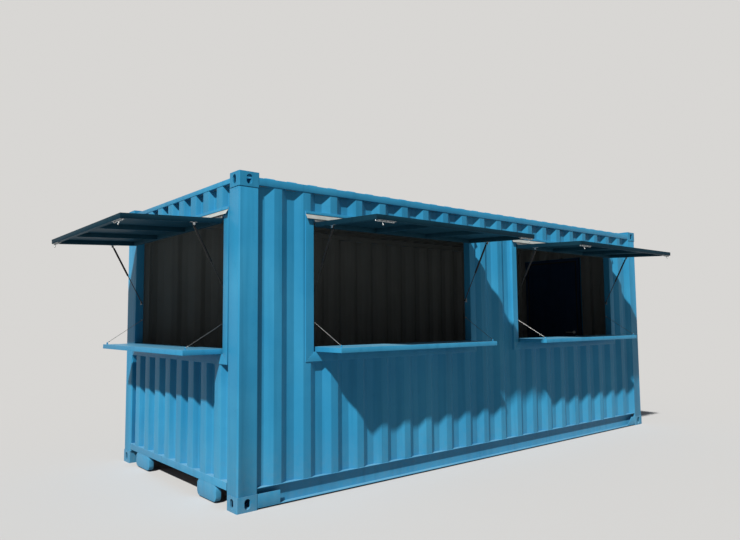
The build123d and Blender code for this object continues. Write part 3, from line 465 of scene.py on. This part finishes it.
joints = [(x, side * (RIDGE_PLANE["y"] - inset), RAIL_LOW, RAIL_HIGH)
          for side in (-1, 1) for x, inset in ((-POST, SIDE["depth"]), (POST, 0))]
joints += [(side * (RIDGE_PLANE["x"] - END["depth"]), y, SILL, END_RAIL)
           for side in (-1, 1) for y in (-END_POST, END_POST)]
make_piece("post_weld_beads", [bead(*joint) for joint in joints], [blue_enamel], "root",
           "body_blue")
report("weld beads")

# %% [markdown]
# ## The roof
# The roof is one sheet with 27 shallow pads pressed up across it, so that rain runs off and
# the sheet doesn't drum. Its height is worked out at every point of a grid: each pad is the
# product of a rise across its width and a rise along its length, and each rise is the
# smooth step 3t^2 - 2t^3 over the tapered edge. The corners are left out for the castings.

# %% Roof sheet
PADS, PAD_PITCH, PAD_RISE, ROOF_TOP = 27, 209.0, 20, 2555
PAD_HALF, PAD_REACH, SIDE_TAPER, END_TAPER = 65, 1172, 22, 24
ROOF_HALF, NOTCH = (2999, 1189), (2851.3, 1056.7)

def smooth_step(t):
    """3t^2 - 2t^3 between 0 and 1."""
    t = np.clip(t, 0, 1)
    return t * t * (3 - 2 * t)

pad_x = np.linspace(-PAD_HALF, PAD_HALF, 15)
pad_centres = (np.arange(PADS) - PADS // 2) * PAD_PITCH
taper = np.linspace(PAD_REACH - END_TAPER, PAD_REACH, 7)
edges_x, edges_y = ([-half, -notch, notch, half] for half, notch in zip(ROOF_HALF, NOTCH))
xs = np.unique(np.concatenate([edges_x, (pad_centres[:, None] + pad_x).ravel()]))
ys = np.unique(np.concatenate([edges_y, -taper, taper, np.linspace(-1100, 1100, 12)]))
grid_x, grid_y = np.meshgrid(xs, ys, indexing="ij")
from_centre = np.abs((grid_x + PAD_PITCH / 2) % PAD_PITCH - PAD_PITCH / 2)
from_centre = np.where(np.abs(grid_x) > PADS / 2 * PAD_PITCH, PAD_PITCH, from_centre)
rise = PAD_RISE * (smooth_step((PAD_HALF - from_centre) / SIDE_TAPER)
                   * smooth_step((PAD_REACH - np.abs(grid_y)) / END_TAPER))
top_sheet = np.stack([grid_x, grid_y, ROOF_TOP + rise], -1)
under_sheet = np.stack([grid_x, grid_y, ROOF_TOP - SHEET + rise], -1)
quads = np.array(grid_faces(*grid_x.shape))
centres = np.abs(top_sheet.reshape(-1, 3)[quads].mean(1))
keep = ~((centres[:, 0] > NOTCH[0]) & (centres[:, 1] > NOTCH[1]))
make_piece("pressed_roof_sheet", [(top_sheet, quads[keep].tolist()),
                                  (under_sheet, quads[keep][:, ::-1].tolist(), 1)],
           [roof_enamel, charcoal_enamel], "root", "wall_sheet", "roof")
report("roof")

# %% [markdown]
# ## Softened edges
# Nothing on a sprayed steel box has a razor edge: rolled tube has a corner radius and paint
# rounds the rest. A CAD node is loose triangles, so a copy of each welded member has its
# points merged and its flat triangles joined before it gets a narrow bevel. The sides that
# look into the cabin take the charcoal coat. An awning's one slate paint is laid in two
# shades by the way a face looks, as painted shade and painted light: darker on its outline
# and lighter on the faces that look down and on the upright ones inside the outline.

# %% Softened members
def round_edges(piece, width, segments, angle):
    """Bevels the edges where a piece turns by more than an angle in degrees."""
    bevel = piece.modifiers.new("edges", "BEVEL")
    bevel.width, bevel.segments = width * MM, segments
    bevel.limit_method, bevel.angle_limit = "ANGLE", math.radians(angle)
    bevel.harden_normals = True

def softened(node, width, material=blue_enamel, body="root", inside="", lighter_below=False,
             planes=None, slot="body_blue"):
    """A bevelled copy of a CAD node. inside names the axes whose inward faces are charcoal.

    lighter_below gives the faces that look down, and the upright ones that aren't on the
    piece's outline, a second slate painted lighter than the outline's: painted light and shade.

    planes says how far out the walls stand along each axis. Faces are cut there, and all that
    lies within, apart from what looks up, is charcoal.
    """
    made = bmesh.new()
    made.from_mesh(nodes[node].data)
    bmesh.ops.remove_doubles(made, verts=made.verts, dist=1e-5)
    bmesh.ops.join_triangles(made, faces=made.faces, angle_face_threshold=math.radians(1),
                             angle_shape_threshold=math.pi)
    limits = [("xyz".index(name), distance) for name, distance in (planes or {}).items()]
    for axis, distance in limits:
        across = Vector(np.eye(3)[axis])
        for sign in (-1, 1):
            bmesh.ops.bisect_plane(made, geom=[*made.verts, *made.edges, *made.faces],
                                   plane_co=across * sign * distance * MM, plane_no=across)
    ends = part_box(node)
    for face in made.faces:
        centre, normal = face.calc_center_median(), face.normal
        axis = int(np.argmax(np.abs(normal)))
        inside_outline = min(abs(centre[axis] - end[axis]) for end in ends) > 3 * MM
        # Faces that look down, and the upright ones inside the outline, take the slate painted
        # lighter: painted light.
        painted_lighter_face = lighter_below and (normal.z < -0.5 or (axis < 2 and inside_outline))
        inwards = any(normal[i] * centre[i] < -0.5 * abs(centre[i])
                      for i in map("xyz".index, inside))
        within = limits and normal.z < 0.5 and all(abs(centre[i]) < distance * MM
                                                   for i, distance in limits)
        face.material_index = 1 if inwards or within or painted_lighter_face else 0
    mesh = bpy.data.meshes.new(node + "_softened")
    made.to_mesh(mesh)
    made.free()
    for coat in (material, charcoal_enamel if inside or planes else slate_painted_lighter_below):
        mesh.materials.append(coat)
    mesh.shade_smooth()
    piece = new_object(node + "_softened", mesh)
    round_edges(piece, width, 2, 25)
    return join_frame(piece, body, slot, node)

softened("corner_posts", 3.0, planes={"x": 2974.0, "y": 1194.0})
softened("top_side_rails", 4.0, planes={"y": 1194.0})
softened("top_end_rails", 4.0, planes={"x": 2999.0})
softened("bottom_side_rails", 2.5)
softened("rail_gussets", 2.0)
softened("end_sills", 3.0)
softened("sill_tabs", 3.0)
softened("left_hatch_frame", 4.0, inside="y")
softened("right_hatch_frame", 4.0, inside="y")
softened("end_hatch_frame", 4.0, inside="x")
softened("door_frame", 2.0, navy_enamel, slot="door_paint")
softened("door_leaf", 2.0, navy_enamel, body="door", slot="door_paint")
softened("flap_clamps", 0.8)
softened("hinge_flaps", 0.6, grey_rubber, slot="flap_rubber")
softened("cross_members", 1.5, underframe_black, slot="underframe_black")
softened("floor", 1.0, floor_ply, slot="floor_plywood")
# The awnings are painted in two shades of one slate by the way each face looks: painted shade and
# light.
awning_slate = dict(lighter_below=True, slot="awning_slate")
for hatch in ("left", "right", "end"):
    softened(f"{hatch}_awning_frame", 2.5, slate_enamel, f"{hatch}_awning", **awning_slate)
    softened(f"{hatch}_counter", 2.0, body=f"{hatch}_counter")
for hatch in ("left", "right", "end"):
    softened(f"{hatch}_awning_sheet", 0.5, slate_enamel, f"{hatch}_awning", **awning_slate)
report("softened members")

# %% [markdown]
# ## Corner castings
# Each corner is a hollow steel casting that cranes and locks grip through oval slots. Slots
# are cut here with boolean modifiers on one casting, because an oval hole through a wall is
# a cut on the real pattern too. The other seven are that one mirrored: a sign for each
# axis, with the faces turned round wherever an odd number of signs is negative.

# %% Outlines, plates and cuts
def straight(x, y, z):
    """A place function for plain coordinates."""
    return np.stack([x, y, z], -1)

def plate(place, outline, axis, low, high):
    """A flat outline with a thickness. axis is the coordinate that runs from low to high."""
    flat = np.asarray(outline, float)
    coordinates = np.zeros((3, 2, len(flat)))
    first, second = (i for i in range(3) if i != axis)
    coordinates[first], coordinates[second] = flat[:, 0], flat[:, 1]
    coordinates[axis, 0], coordinates[axis, 1] = low, high
    return place(*coordinates.reshape(3, -1)), tube_faces(2, len(flat))

def rounded(width, height, radius, centre, steps=8):
    """A rectangle with round corners: each corner's centre plus r (cos t, sin t)."""
    angle = np.linspace(0, np.pi / 2, steps + 1) + np.arange(4)[:, None] * np.pi / 2
    sign = np.array([[1, 1], [-1, 1], [-1, -1], [1, -1]])
    corner = sign * (np.array([width, height]) / 2 - radius)
    points = corner[:, None] + radius * np.stack([np.cos(angle), np.sin(angle)], -1)
    return points.reshape(-1, 2) + np.asarray(centre, float)

def cut_out(piece, cutters):
    """The piece's mesh less every cutter, as (points, faces) arrays in millimetres."""
    for cutter in cutters:
        cut = piece.modifiers.new("cut", "BOOLEAN")
        cut.operation, cut.solver, cut.object = "DIFFERENCE", "EXACT", cutter
    graph = bpy.context.evaluated_depsgraph_get()
    mesh = bpy.data.meshes.new_from_object(piece.evaluated_get(graph))
    points = np.zeros(len(mesh.vertices) * 3)
    mesh.vertices.foreach_get("co", points)
    faces = [list(polygon.vertices) for polygon in mesh.polygons]
    for item in (piece, *cutters):
        bpy.data.objects.remove(item)
    return points.reshape(-1, 3) / MM, faces

print("a rounded outline has", len(rounded(20, 10, 2, (0, 0))), "points")

# %% One casting, eight times
CASTING, CORNER, TALL = np.array([178.0, 162.0, 118.0]), np.array([3029.0, 1219.0]), 2591.0
SLOT, SLOT_DEEP = (51, 79.5, 25.4), 20
middle, half_tall = CORNER - CASTING[:2] / 2, CASTING[2] / 2
casting = plate(straight, rounded(178, 162, 9, middle), 2, 0, CASTING[2])
cuts = [
    plate(straight, rounded(150, 134, 6, middle), 2, 28, 104),
    plate(straight, rounded(124, 63.5, 31.7, CORNER - (102.5, 89.5)), 2, -1, 30),
    *(plate(straight, rounded(*SLOT, (middle[1 - axis], half_tall)), axis,
            CORNER[axis] - SLOT_DEEP, CORNER[axis] + 2) for axis in (0, 1))]
block, *cutters = (new_object("casting", closed_mesh("casting", *shape))
                   for shape in (casting, *cuts))
casting_points, casting_faces = cut_out(block, cutters)

def mirrored(signs, lift):
    """The casting with each axis multiplied by its sign, and its faces kept outward."""
    moved = casting_points * np.array(signs) + np.array([0, 0, lift])
    return moved, [face[::-1] if np.prod(signs) < 0 else face for face in casting_faces]

for node, up_sign, lift in (("bottom_castings", 1, 0.0), ("top_castings", -1, TALL)):
    surfaces = [mirrored((x, y, up_sign), lift) for x in (-1, 1) for y in (-1, 1)]
    piece = make_piece(node + "_slotted", surfaces, [casting_enamel], "root", "casting_steel",
                       node)
    round_edges(piece, 3.0, 3, 40)
report("castings")

# %% [markdown]
# ## Round bars, plates and hinges
# What is left is hardware: hinge knuckles, gas struts, bolts, wire. Nearly all of it is a
# circle carried along a line with a radius that changes on the way, or a flat outline with
# a thickness. Each hatch has three directions: along the wall, out of it and up.

# %% Hatch directions and simple solids
UP = np.array([0.0, 0.0, 1.0])
long_side = dict(along=(1, 0, 0), out=(0, -1, 0), width=1945.0, reach=348.0)
HATCHES = {
    "left": dict(origin=(-1362.5, -1219, 0), **long_side),
    "right": dict(origin=(1362.5, -1219, 0), **long_side),
    "end": dict(origin=(-3029, 0, 0), along=(0, -1, 0), out=(-1, 0, 0), width=1930.0, reach=318.0),
}
TILT = math.radians(2.5)
AWNING_PIVOT, COUNTER_PIVOT = (8.0, 2253.0), (-66.0, 1178.0)

def spot(hatch, along, out, up):
    """A point from its distances along the wall, out of the frame's face, and above the ground."""
    h = HATCHES[hatch]
    along, out, up = (np.asarray(value, float)[..., None] for value in (along, out, up))
    return np.add(h["origin"], along * h["along"]) + out * h["out"] + up * UP

def on_awning(hatch, along, a, lift):
    """A point on the awning: a from its pivot to its edge, lift at right angles to its sheet."""
    a, lift = np.asarray(a, float), np.asarray(lift, float)
    return spot(hatch, along, AWNING_PIVOT[0] + a * math.cos(TILT) + lift * math.sin(TILT),
                AWNING_PIVOT[1] - a * math.sin(TILT) + lift * math.cos(TILT))

def from_pivot(hatch, pivot):
    """A place function whose x runs out and y up from a pivot in the wall."""
    return lambda along, x, y: spot(hatch, along, np.add(pivot[0], x), np.add(pivot[1], y))

def brick(place, along, x, y):
    """A box between two values of each of three coordinates."""
    u, v, w = np.meshgrid(along, x, y, indexing="ij")
    faces = [[0, 1, 3, 2], [4, 6, 7, 5], [0, 4, 5, 1], [2, 3, 7, 6], [0, 2, 6, 4], [1, 5, 7, 3]]
    return place(u.ravel(), v.ravel(), w.ravel()), faces

def turned(start, end, profile, reference, sides):
    """A turned piece between two points: (distance, radius) pairs carried along the line."""
    profile = np.asarray(profile, float)[:, :, None, None]
    direction = (end - start) / np.linalg.norm(end - start)
    around = spokes(*normals_to(direction, reference), sides)
    points = start + profile[:, 0] * direction + profile[:, 1] * around
    return points.reshape(-1, 3), tube_faces(len(profile), sides)

def screw_heads(place, along, x, y, outwards, radius=4.5):
    """Low round heads, one for each place along a strip, standing out by nearly half of r."""
    profile = [(0, radius), (radius * 0.2, radius), (radius * 0.42, radius * 0.62),
               (radius * 0.46, 0.3)]
    surfaces = []
    for u in along:
        start, end = place(u, x, y), place(u, x + outwards[0], y + outwards[1])
        surfaces.append(turned(start, end, profile, place(u + 1, x, y) - start, 8))
    return surfaces

print("the left awning's pivot is at", spot("left", 0, *AWNING_PIVOT))

# %% [markdown]
# ## Long hinges
# A continuous hinge is two thin leaves whose edges are rolled into knuckles that take turns
# along one pin. The knuckles of each leaf are every second one of 24, so the two halves of
# a hinge use the same function with a different start, and one rides on the moving piece.
# Each leaf and tongue is given by its span out of the wall and its span up from the pin.

# %% Hinges
KNUCKLES, BARREL, PIN, KNUCKLE_GAP = 24, 6.5, 3.2, 0.7

def half_hinge(place, width, leaf, tongue, first, screw_face):
    """A leaf, every second knuckle, the tongues that join them, and a row of screws."""
    pitch = width / KNUCKLES
    length = pitch - 2 * KNUCKLE_GAP
    surfaces = [brick(place, (-width / 2, width / 2), *leaf)]
    profile = [(0, PIN), (0.8, BARREL - 0.6), (1.6, BARREL), (length - 1.6, BARREL),
               (length - 0.8, BARREL - 0.6), (length, PIN)]
    for k in range(first, KNUCKLES, 2):
        low = -width / 2 + k * pitch + KNUCKLE_GAP
        surfaces.append(turned(place(low, 0, 0), place(low + 1, 0, 0), profile, UP, 14))
        surfaces.append(brick(place, (low, low + length), *tongue))
    places = np.linspace(-width / 2 + 40, width / 2 - 40, 16)
    return surfaces + screw_heads(place, places, *screw_face)

fixed_leaves = []
for hatch, h in HATCHES.items():
    awning_width, counter_width = h["width"] - 10, h["width"] - 40
    at_awning, at_counter = (from_pivot(hatch, pivot) for pivot in (AWNING_PIVOT, COUNTER_PIVOT))
    fixed_leaves += half_hinge(at_awning, awning_width, ((-8, -5), (7.5, 46)),
                               ((-8, -5), (0, 7.5)), 0, (-5, 28, (1, 0)))
    fixed_leaves += half_hinge(at_counter, counter_width, ((-14, -7.5), (-8, -5)),
                               ((-7.5, 0), (-8, -5)), 0, (-11, -5, (0, 1)))
    on_sheet = half_hinge(partial(on_awning, hatch), awning_width, ((7.5, 46), (-8, -5)),
                          ((0, 7.5), (-8, -5)), 1, (28, -5, (0, 1)))
    make_piece(f"{hatch}_awning_hinge_half", on_sheet, [zinc_plate], f"{hatch}_awning",
               "zinc_fittings", f"{hatch}_awning_fittings")
    on_counter = half_hinge(at_counter, counter_width, ((5, 8), (7.5, 32)),
                            ((5, 8), (0, 7.5)), 1, (5, 20, (-1, 0)))
    make_piece(f"{hatch}_counter_hinge_half", on_counter, [zinc_plate], f"{hatch}_counter",
               "zinc_fittings", f"{hatch}_counter_hinge")
make_piece("fixed_hinge_halves", fixed_leaves, [zinc_plate], "root", "zinc_fittings",
           "fixed_hinge_leaves")
report("hinges")

# %% [markdown]
# ## Gas struts
# A gas strut is a black cylinder with a dark rod. Each end has a socket that snaps on a ball
# stud. The cylinder hangs from the awning and the rod's foot is held at the jamb, as in the
# photograph, so the cylinder, the rod and the bracket of each end ride on different bodies.

# %% Struts
FOOT, HEAD = (-55.0, 1620.0), (240.0, -64.0)
STRUT = 634.045
NECK = STRUT - 14.0
TUBE_LOW = NECK - 310.0
SOCKET = [(0, 3.4), (0.4, 5.6), (2, 6.6), (5, 7.0), (8, 6.6), (9.6, 5.6), (10, 3.4)]
TUBE = [(TUBE_LOW - 1, 4.2), (TUBE_LOW - 1, 6.6), (TUBE_LOW, 8.0), (TUBE_LOW + 5, 8.8),
        (TUBE_LOW + 8, 8.2), (TUBE_LOW + 10, 9), (NECK - 4, 9), (NECK - 1.2, 8), (NECK, 6),
        (NECK + 1, 4.6), (NECK + 9, 4.6)]
ROD = [(4, 4.6), (13, 4.6), (14, 5.2), (19, 5.2), (19.5, 4), (350, 4)]

def socket_head(centre, across):
    """A ball socket: a barrel 10 mm wide across the strut, widest at its middle."""
    return turned(centre - 5 * across, centre + across, SOCKET, UP, 20)

for hatch, h in HATCHES.items():
    rods, tubes, across = [], [], np.array(h["along"], float)
    for side in (-1, 1):
        along = side * (h["width"] / 2 - 22.5)
        foot, head = spot(hatch, along, *FOOT), on_awning(hatch, along, *HEAD)
        rods += [turned(foot, head, ROD, across, 20), socket_head(foot, across)]
        tubes += [turned(foot, head, TUBE, across, 24), socket_head(head, across)]
    make_piece(f"{hatch}_strut_rod_pair", rods, [nitrided], f"{hatch}_strut_rods",
               "strut_rod_steel", f"{hatch}_strut_rods")
    make_piece(f"{hatch}_strut_cylinder_pair", tubes, [black_enamel], f"{hatch}_strut_tubes",
               "strut_tube_black", f"{hatch}_strut_tubes")
report("struts")

# %% [markdown]
# ## Brackets and bolts
# The strut's upper bracket hangs from the awning's side tube, and its lower one and the eye
# of the wire stay are screwed to the jamb. Each is a plate with round corners and a stud.
# Near each outer corner of an awning is a slide bolt that locks it shut: a plate, three
# keepers, a round bar and a turned-down handle.

# %% Brackets
EYE = -65.0, 1445.0
UNDERSIDE = -48.0

def arc(centre, radii, start, end, steps):
    """Points on an ellipse: its centre plus (a cos t, b sin t), t in half turns."""
    t = np.linspace(start * np.pi, end * np.pi, steps)
    return np.stack([centre[0] + radii[0] * np.cos(t), centre[1] + radii[1] * np.sin(t)], 1)

def stud(place, along, x, y, reach):
    """A ball stud: a round shank with a collar, from a plate to a ball in the socket's side."""
    length = abs(reach)
    profile = [(0, 5.5), (2, 5.5), (2.4, 3.0), (length - 0.6, 3.0), (length, 2.4)]
    return turned(place(along, x, y), place(along + np.sign(reach), x, y), profile, UP, 14)

def jamb_parts(hatch, side):
    """The strut's foot plate with its stud and two screws, and the stay's plate and ring eye."""
    at, h, half = partial(spot, hatch), HATCHES[hatch], HATCHES[hatch]["width"] / 2
    parts = [plate(at, rounded(18, 36, 4, FOOT), 0, *sorted((side * half, side * (half - 4)))),
             stud(at, side * (half - 4), *FOOT, -side * 13.2)]
    for up in (-12, 12):
        start = at(side * (half - 4), FOOT[0], FOOT[1] + up)
        parts.append(turned(start, start - side * np.array(h["along"], float),
                            [(0, 3.4), (0.8, 3.4), (1.8, 2), (1.9, 0.3)], UP, 10))
    parts.append(plate(at, rounded(13, 13, 3, EYE), 0, *sorted((side * half, side * (half - 2)))))
    t = np.arange(28) * 2 * np.pi / 28
    ring = at(side * (half - 7.6) + 4.4 * np.cos(t), EYE[0], EYE[1] + 4.4 * np.sin(t))
    return [*parts, carried(ring, 1.5, h["out"], 8, closed=True)]

def hanger_parts(hatch, side):
    """The strut's upper bracket: a round-ended plate, its flange under the tube, and a stud."""
    at, edge = partial(on_awning, hatch), side * (HATCHES[hatch]["width"] / 2 - 5)
    hanger = [(HEAD[0] + 9, UNDERSIDE), (HEAD[0] - 9, UNDERSIDE), *arc(HEAD, (9, 9), 1, 2, 13)]
    flange = rounded(22, 60, 4, (edge - side * 11, HEAD[0]))
    return [plate(at, hanger, 0, *sorted((edge, edge - side * 4))),
            plate(at, flange, 2, UNDERSIDE - 2.5, UNDERSIDE),
            stud(at, edge - side * 4, *HEAD, -side * 8.2)]

print("a jamb has", len(jamb_parts("left", 1)), "parts, a hanger", len(hanger_parts("left", 1)))

# %% Slide bolts
BOLT_A, BOLT_HALF, BAR_DROP = 780.0, 95, 7.5
KEEPER = [(8.8, 0), *arc((0, -5.5), (8.8, -6.2), 0, 1, 11), (-8.8, 0),
          (-5.2, 0), *arc((0, -5.5), (-5.2, -4.2), 0, 1, 11), (5.2, 0)]
HANDLE = [(0, 3.6), (24, 3.6), (26, 5.4), (30, 6.6), (34, 5.6), (35.6, 2)]

def bolt_parts(hatch, side):
    """A slide bolt near an awning's corner: plate, bar, three keepers, handle and screws."""
    at, h = partial(on_awning, hatch), HATCHES[hatch]
    centre, axis_lift = side * (h["width"] / 2 - 5 - 14 - BOLT_HALF), UNDERSIDE - BAR_DROP
    back_plate = rounded(2 * BOLT_HALF, 34, 5, (centre, BOLT_A))
    bar = [at(centre + side * (12 + end), BOLT_A, axis_lift) for end in (-BOLT_HALF, BOLT_HALF)]
    parts = [plate(at, back_plate, 2, UNDERSIDE - 2.5, UNDERSIDE),
             turned(*bar, [(0, 3.8), (1.2, 5), (188.8, 5), (190, 3.8)], UP, 18)]
    for share in (-0.38, 0.05, 0.38):
        u = centre + share * 2 * BOLT_HALF
        parts.append(plate(at, np.add(KEEPER, (BOLT_A, UNDERSIDE - 2.3)), 0, u - 7, u + 7))
    grip = at(centre + side * 38, BOLT_A, axis_lift)
    tip = at(centre + side * 38, BOLT_A + 14, UNDERSIDE - 40)
    parts.append(turned(grip, tip, HANDLE, h["along"], 16))
    for a in (BOLT_A + 12.5, BOLT_A - 12.5):
        parts += screw_heads(at, centre + np.array([-84.0, -22, 84]), a, UNDERSIDE - 2.5,
                             (0, -1), 3)
    return parts

jamb_pieces = []
for hatch in HATCHES:
    jamb_pieces += jamb_parts(hatch, -1) + jamb_parts(hatch, 1)
    hung = [*hanger_parts(hatch, -1), *hanger_parts(hatch, 1),
            *bolt_parts(hatch, -1), *bolt_parts(hatch, 1)]
    make_piece(f"{hatch}_brackets_and_bolt", hung, [zinc_plate], f"{hatch}_awning",
               "zinc_fittings")
make_piece("jamb_brackets_and_eyes", jamb_pieces, [zinc_plate], "root", "zinc_fittings",
           "jamb_fittings")
report("brackets and bolts")

# %% [markdown]
# ## Wire stays
# The counters hang on thin stainless ropes: six wires laid round a core. Each wire is a
# helix round the straight line between the two eyes, with one turn in about 30 mm. A pressed
# sleeve closes the loop at each end.

# %% Stays
LAY, CORE, WIRE = 30, 1.35, 0.75
SLEEVE = [(0, 2.0), (0.6, 3.2), (15, 3.2), (16, 2.4)]
COUNTER_EYE = 32, 1225

def rope(start, end, reference):
    """Six helices round a line: p(s) + r (cos(a + 2 pi s/30) n1 + sin(...) n2), ends as loops."""
    length = np.linalg.norm(end - start)
    direction = (end - start) / length
    n1, n2 = normals_to(direction, reference)
    s = np.arange(14.0, length - 13, 3.0)
    surfaces = []
    for wire in range(6):
        phase = (wire * np.pi / 3 + 2 * np.pi * s / LAY)[:, None]
        path = start + s[:, None] * direction + CORE * (np.cos(phase) * n1 + np.sin(phase) * n2)
        surfaces.append(carried(path, WIRE, n1, 5))
    for base, way in ((start, direction), (end, -direction)):
        surfaces.append(turned(base + 13 * way, base + 14 * way, SLEEVE, reference, 12))
        t = np.linspace(0.12 * np.pi, 1.88 * np.pi, 25)[:, None]
        loop = base + way * (5.5 + 8.5 * np.cos(t)) + 4.2 * np.sin(t) * n2
        surfaces.append(carried(loop, 1.3, n1, 6))
    return surfaces

for hatch, h in HATCHES.items():
    half, surfaces = h["width"] / 2, []
    low_end = h["reach"] - COUNTER_EYE[0], COUNTER_EYE[1]
    for side in (-1, 1):
        surfaces += rope(spot(hatch, side * (half - 7), *EYE),
                         spot(hatch, side * (half - 45), *low_end), h["along"])
    stays = make_piece(f"{hatch}_wire_stays", surfaces, [stainless], None, "stay_wire",
                       f"{hatch}_stay_cables")
    tuple(spot(hatch, 0, *EYE) * MM)
    tuple(spot(hatch, 0, *low_end) * MM)
    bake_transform(stays)
report("stays")

# %% [markdown]
# ## Door seal and closing strips
# A door leaf needs a gap all round to swing, and a rubber seal behind the gap to keep out
# light and rain. The seal is a strip bent into an L round the inside of the frame: one leg
# lies on the frame's inner face and the other reaches behind the leaf's edge. The end wall
# stands on a ridge at the door's left and crosses ridges over it, so flat bars close the way
# between its sheet and the frame.

# %% Seal and strips
STRIP_FACE, STRIP_LEFT, STRIP_TOP = 3021.5, DOOR_LEFT - 5, DOOR_TOP + 3
strips = [brick(straight, (3006, STRIP_FACE), (STRIP_LEFT, DOOR_LEFT + 1), (SILL, STRIP_TOP)),
          brick(straight, (2970, STRIP_FACE), (STRIP_LEFT, DOOR_RIGHT + 2),
                (DOOR_TOP - 1, STRIP_TOP))]
make_piece("door_closing_strips", strips, [blue_enamel], "root", "body_blue")

def seal_leg(edge, reach, near, far):
    """A rectangular ring round the leaf: four mitred sides, reach wide, near to far thick."""
    low, high = (np.array(corner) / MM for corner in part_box("door_leaf"))
    outer_low, size = low[1:] - edge, high[1:] - low[1:] + 2 * edge
    square = np.array([[0, 0], [1, 0], [1, 1], [0, 1]], float)
    outer = outer_low + square * size
    inner = outer_low + reach + square * (size - 2 * reach)
    rings = [np.column_stack([np.full(4, low[0] + x), ring])
             for ring, x in ((outer, near), (inner, near), (inner, far), (outer, far))]
    return np.concatenate(rings), grid_faces(4, 4, close_rows=True, close_columns=True)

seal = [seal_leg(12.0, 26.0, -5.5, -1.5), seal_leg(4.7, 3.0, -1.6, 9.0)]
make_piece("door_seal", seal, [black_rubber], "root", "flap_rubber")
report("door seal")

# %% [markdown]
# ## Door fittings
# The door's hinges and lever handles keep the CAD's shapes, which are right as they are. The
# hinges are zinc-plated like the others, and the handles are brushed to a satin finish.

# %% Finishes on CAD nodes
finishes = {"door_frame_hinges": zinc_plate, "door_leaf_hinges": zinc_plate,
            "door_handles": handle_metal}
for node, material in finishes.items():
    nodes[node].data.materials.clear()
    nodes[node].data.materials.append(material)
print("finished as they are:", *finishes)

# %% [markdown]
# ## Floor and light
# The floor is a plain pale sheet with no gloss, so it has one even brightness out to the
# horizon. The world shows that same brightness to the camera: it is worked out from the
# floor's colour and the light on it, so the horizon doesn't show. A pale floor throws so much
# light up that the shadows under the counters and awnings go flat, so what it throws back at
# the cabin is a mid grey, as bare ground gives, and only the eye sees it pale. The lamp stands
# high on the left and behind the camera. It lights the hatch side and the hatch end and drops
# the awnings' shadows down the wall.

# %% Stage
PAPER, THROWN = "#C2C3C5", "#979797"
FLOOR_COLOUR, KEY_COLOUR, FILL_COLOUR = (np.array(linear(code))
                                         for code in (PAPER, "#FFFBF4", "#F4F8FF"))
KEY_ENERGY, FILL, FLOOR_REACH = 5.0, 0.15, 150
KEY_DIRECTION = Vector((1.60, 1.0, -1.93)).normalized()

def seen_directly(tree):
    """1 for what the camera sees, also in gloss or through glass, and 0 for scattered light."""
    path = add(tree, "LightPath").outputs
    either = add(tree, "Math", {0: path["Is Camera Ray"], 1: path["Is Glossy Ray"]},
                 operation="MAXIMUM")
    return add(tree, "Math", {0: either, 1: path["Is Transmission Ray"]},
               operation="MAXIMUM")

floor_mesh = bpy.data.meshes.new("studio_floor")
corners = [(x * FLOOR_REACH, y * FLOOR_REACH, 0) for x, y in ((-1, -1), (1, -1), (1, 1), (-1, 1))]
floor_mesh.from_pydata(corners, [], [(0, 1, 2, 3)])
studio_floor = new_object("studio_floor", floor_mesh)
paper, tree = new_material("matt_paper_floor")
colour = add(tree, "Mix", {0: seen_directly(tree), 6: THROWN, 7: PAPER},
             data_type="RGBA")
diffuse = add(tree, "BsdfDiffuse", {"Color": colour, "Roughness": 0.0})
add(tree, "OutputMaterial", {0: diffuse})
floor_mesh.materials.append(paper)

world = bpy.data.worlds.new("studio")
world.use_nodes = True
tree = world.node_tree
tree.nodes.clear()
light_on_floor = KEY_COLOUR * KEY_ENERGY * -KEY_DIRECTION.z / math.pi + FILL_COLOUR * FILL
seen_colour = [*(FLOOR_COLOUR * light_on_floor)[:3].tolist(), 1.0]
fill = add(tree, "Background", {"Color": FILL_COLOUR.tolist(), "Strength": FILL})
backdrop = add(tree, "Background", {"Color": seen_colour, "Strength": 1.0})
shown = add(tree, "MixShader", {0: seen_directly(tree), 1: fill, 2: backdrop})
add(tree, "OutputWorld", {0: shown})
bpy.context.scene.world = world

sun = bpy.data.lights.new("key", "SUN")
sun.energy, sun.angle, sun.color = KEY_ENERGY, math.radians(2), KEY_COLOUR[:3].tolist()
key = new_object("key", sun)
key.rotation_euler = KEY_DIRECTION.to_track_quat("-Z", "Y").to_euler()
print("the floor is seen at", np.round(seen_colour, 3))

# %% [markdown]
# ## Camera
# The focal length in pixels and the camera's place and turns were fitted to points of the
# cabin whose real places are known, such as the corners of the castings and the hatches.

# %% Camera
FOCAL_PIXELS, PHOTO_WIDTH, SENSOR = 633.3, 740, 36.0
YAW, PITCH, ROLL = 0.6951, 0.0785, 0.0084
CAMERA_PLACE = (-5.3377, -5.5488, 1.4286)
lens = bpy.data.cameras.new("camera")
lens.sensor_fit, lens.sensor_width = "HORIZONTAL", SENSOR
lens.lens = FOCAL_PIXELS / PHOTO_WIDTH * SENSOR
lens.clip_end = 500
camera = new_object("camera", lens)
forward = Vector((math.sin(YAW) * math.cos(PITCH), math.cos(YAW) * math.cos(PITCH),
                  math.sin(PITCH)))
right = Vector((math.cos(YAW), -math.sin(YAW), 0))
up = right.cross(forward)
right, up = (math.cos(ROLL) * right - math.sin(ROLL) * up,
             math.sin(ROLL) * right + math.cos(ROLL) * up)
turn = Matrix((right, up, -forward)).transposed().to_4x4()
camera.matrix_world = Matrix.Translation(CAMERA_PLACE) @ turn
bpy.context.scene.camera = camera
bpy.context.scene.view_settings.view_transform = "Standard"
print("the lens is", round(lens.lens, 1), "mm")
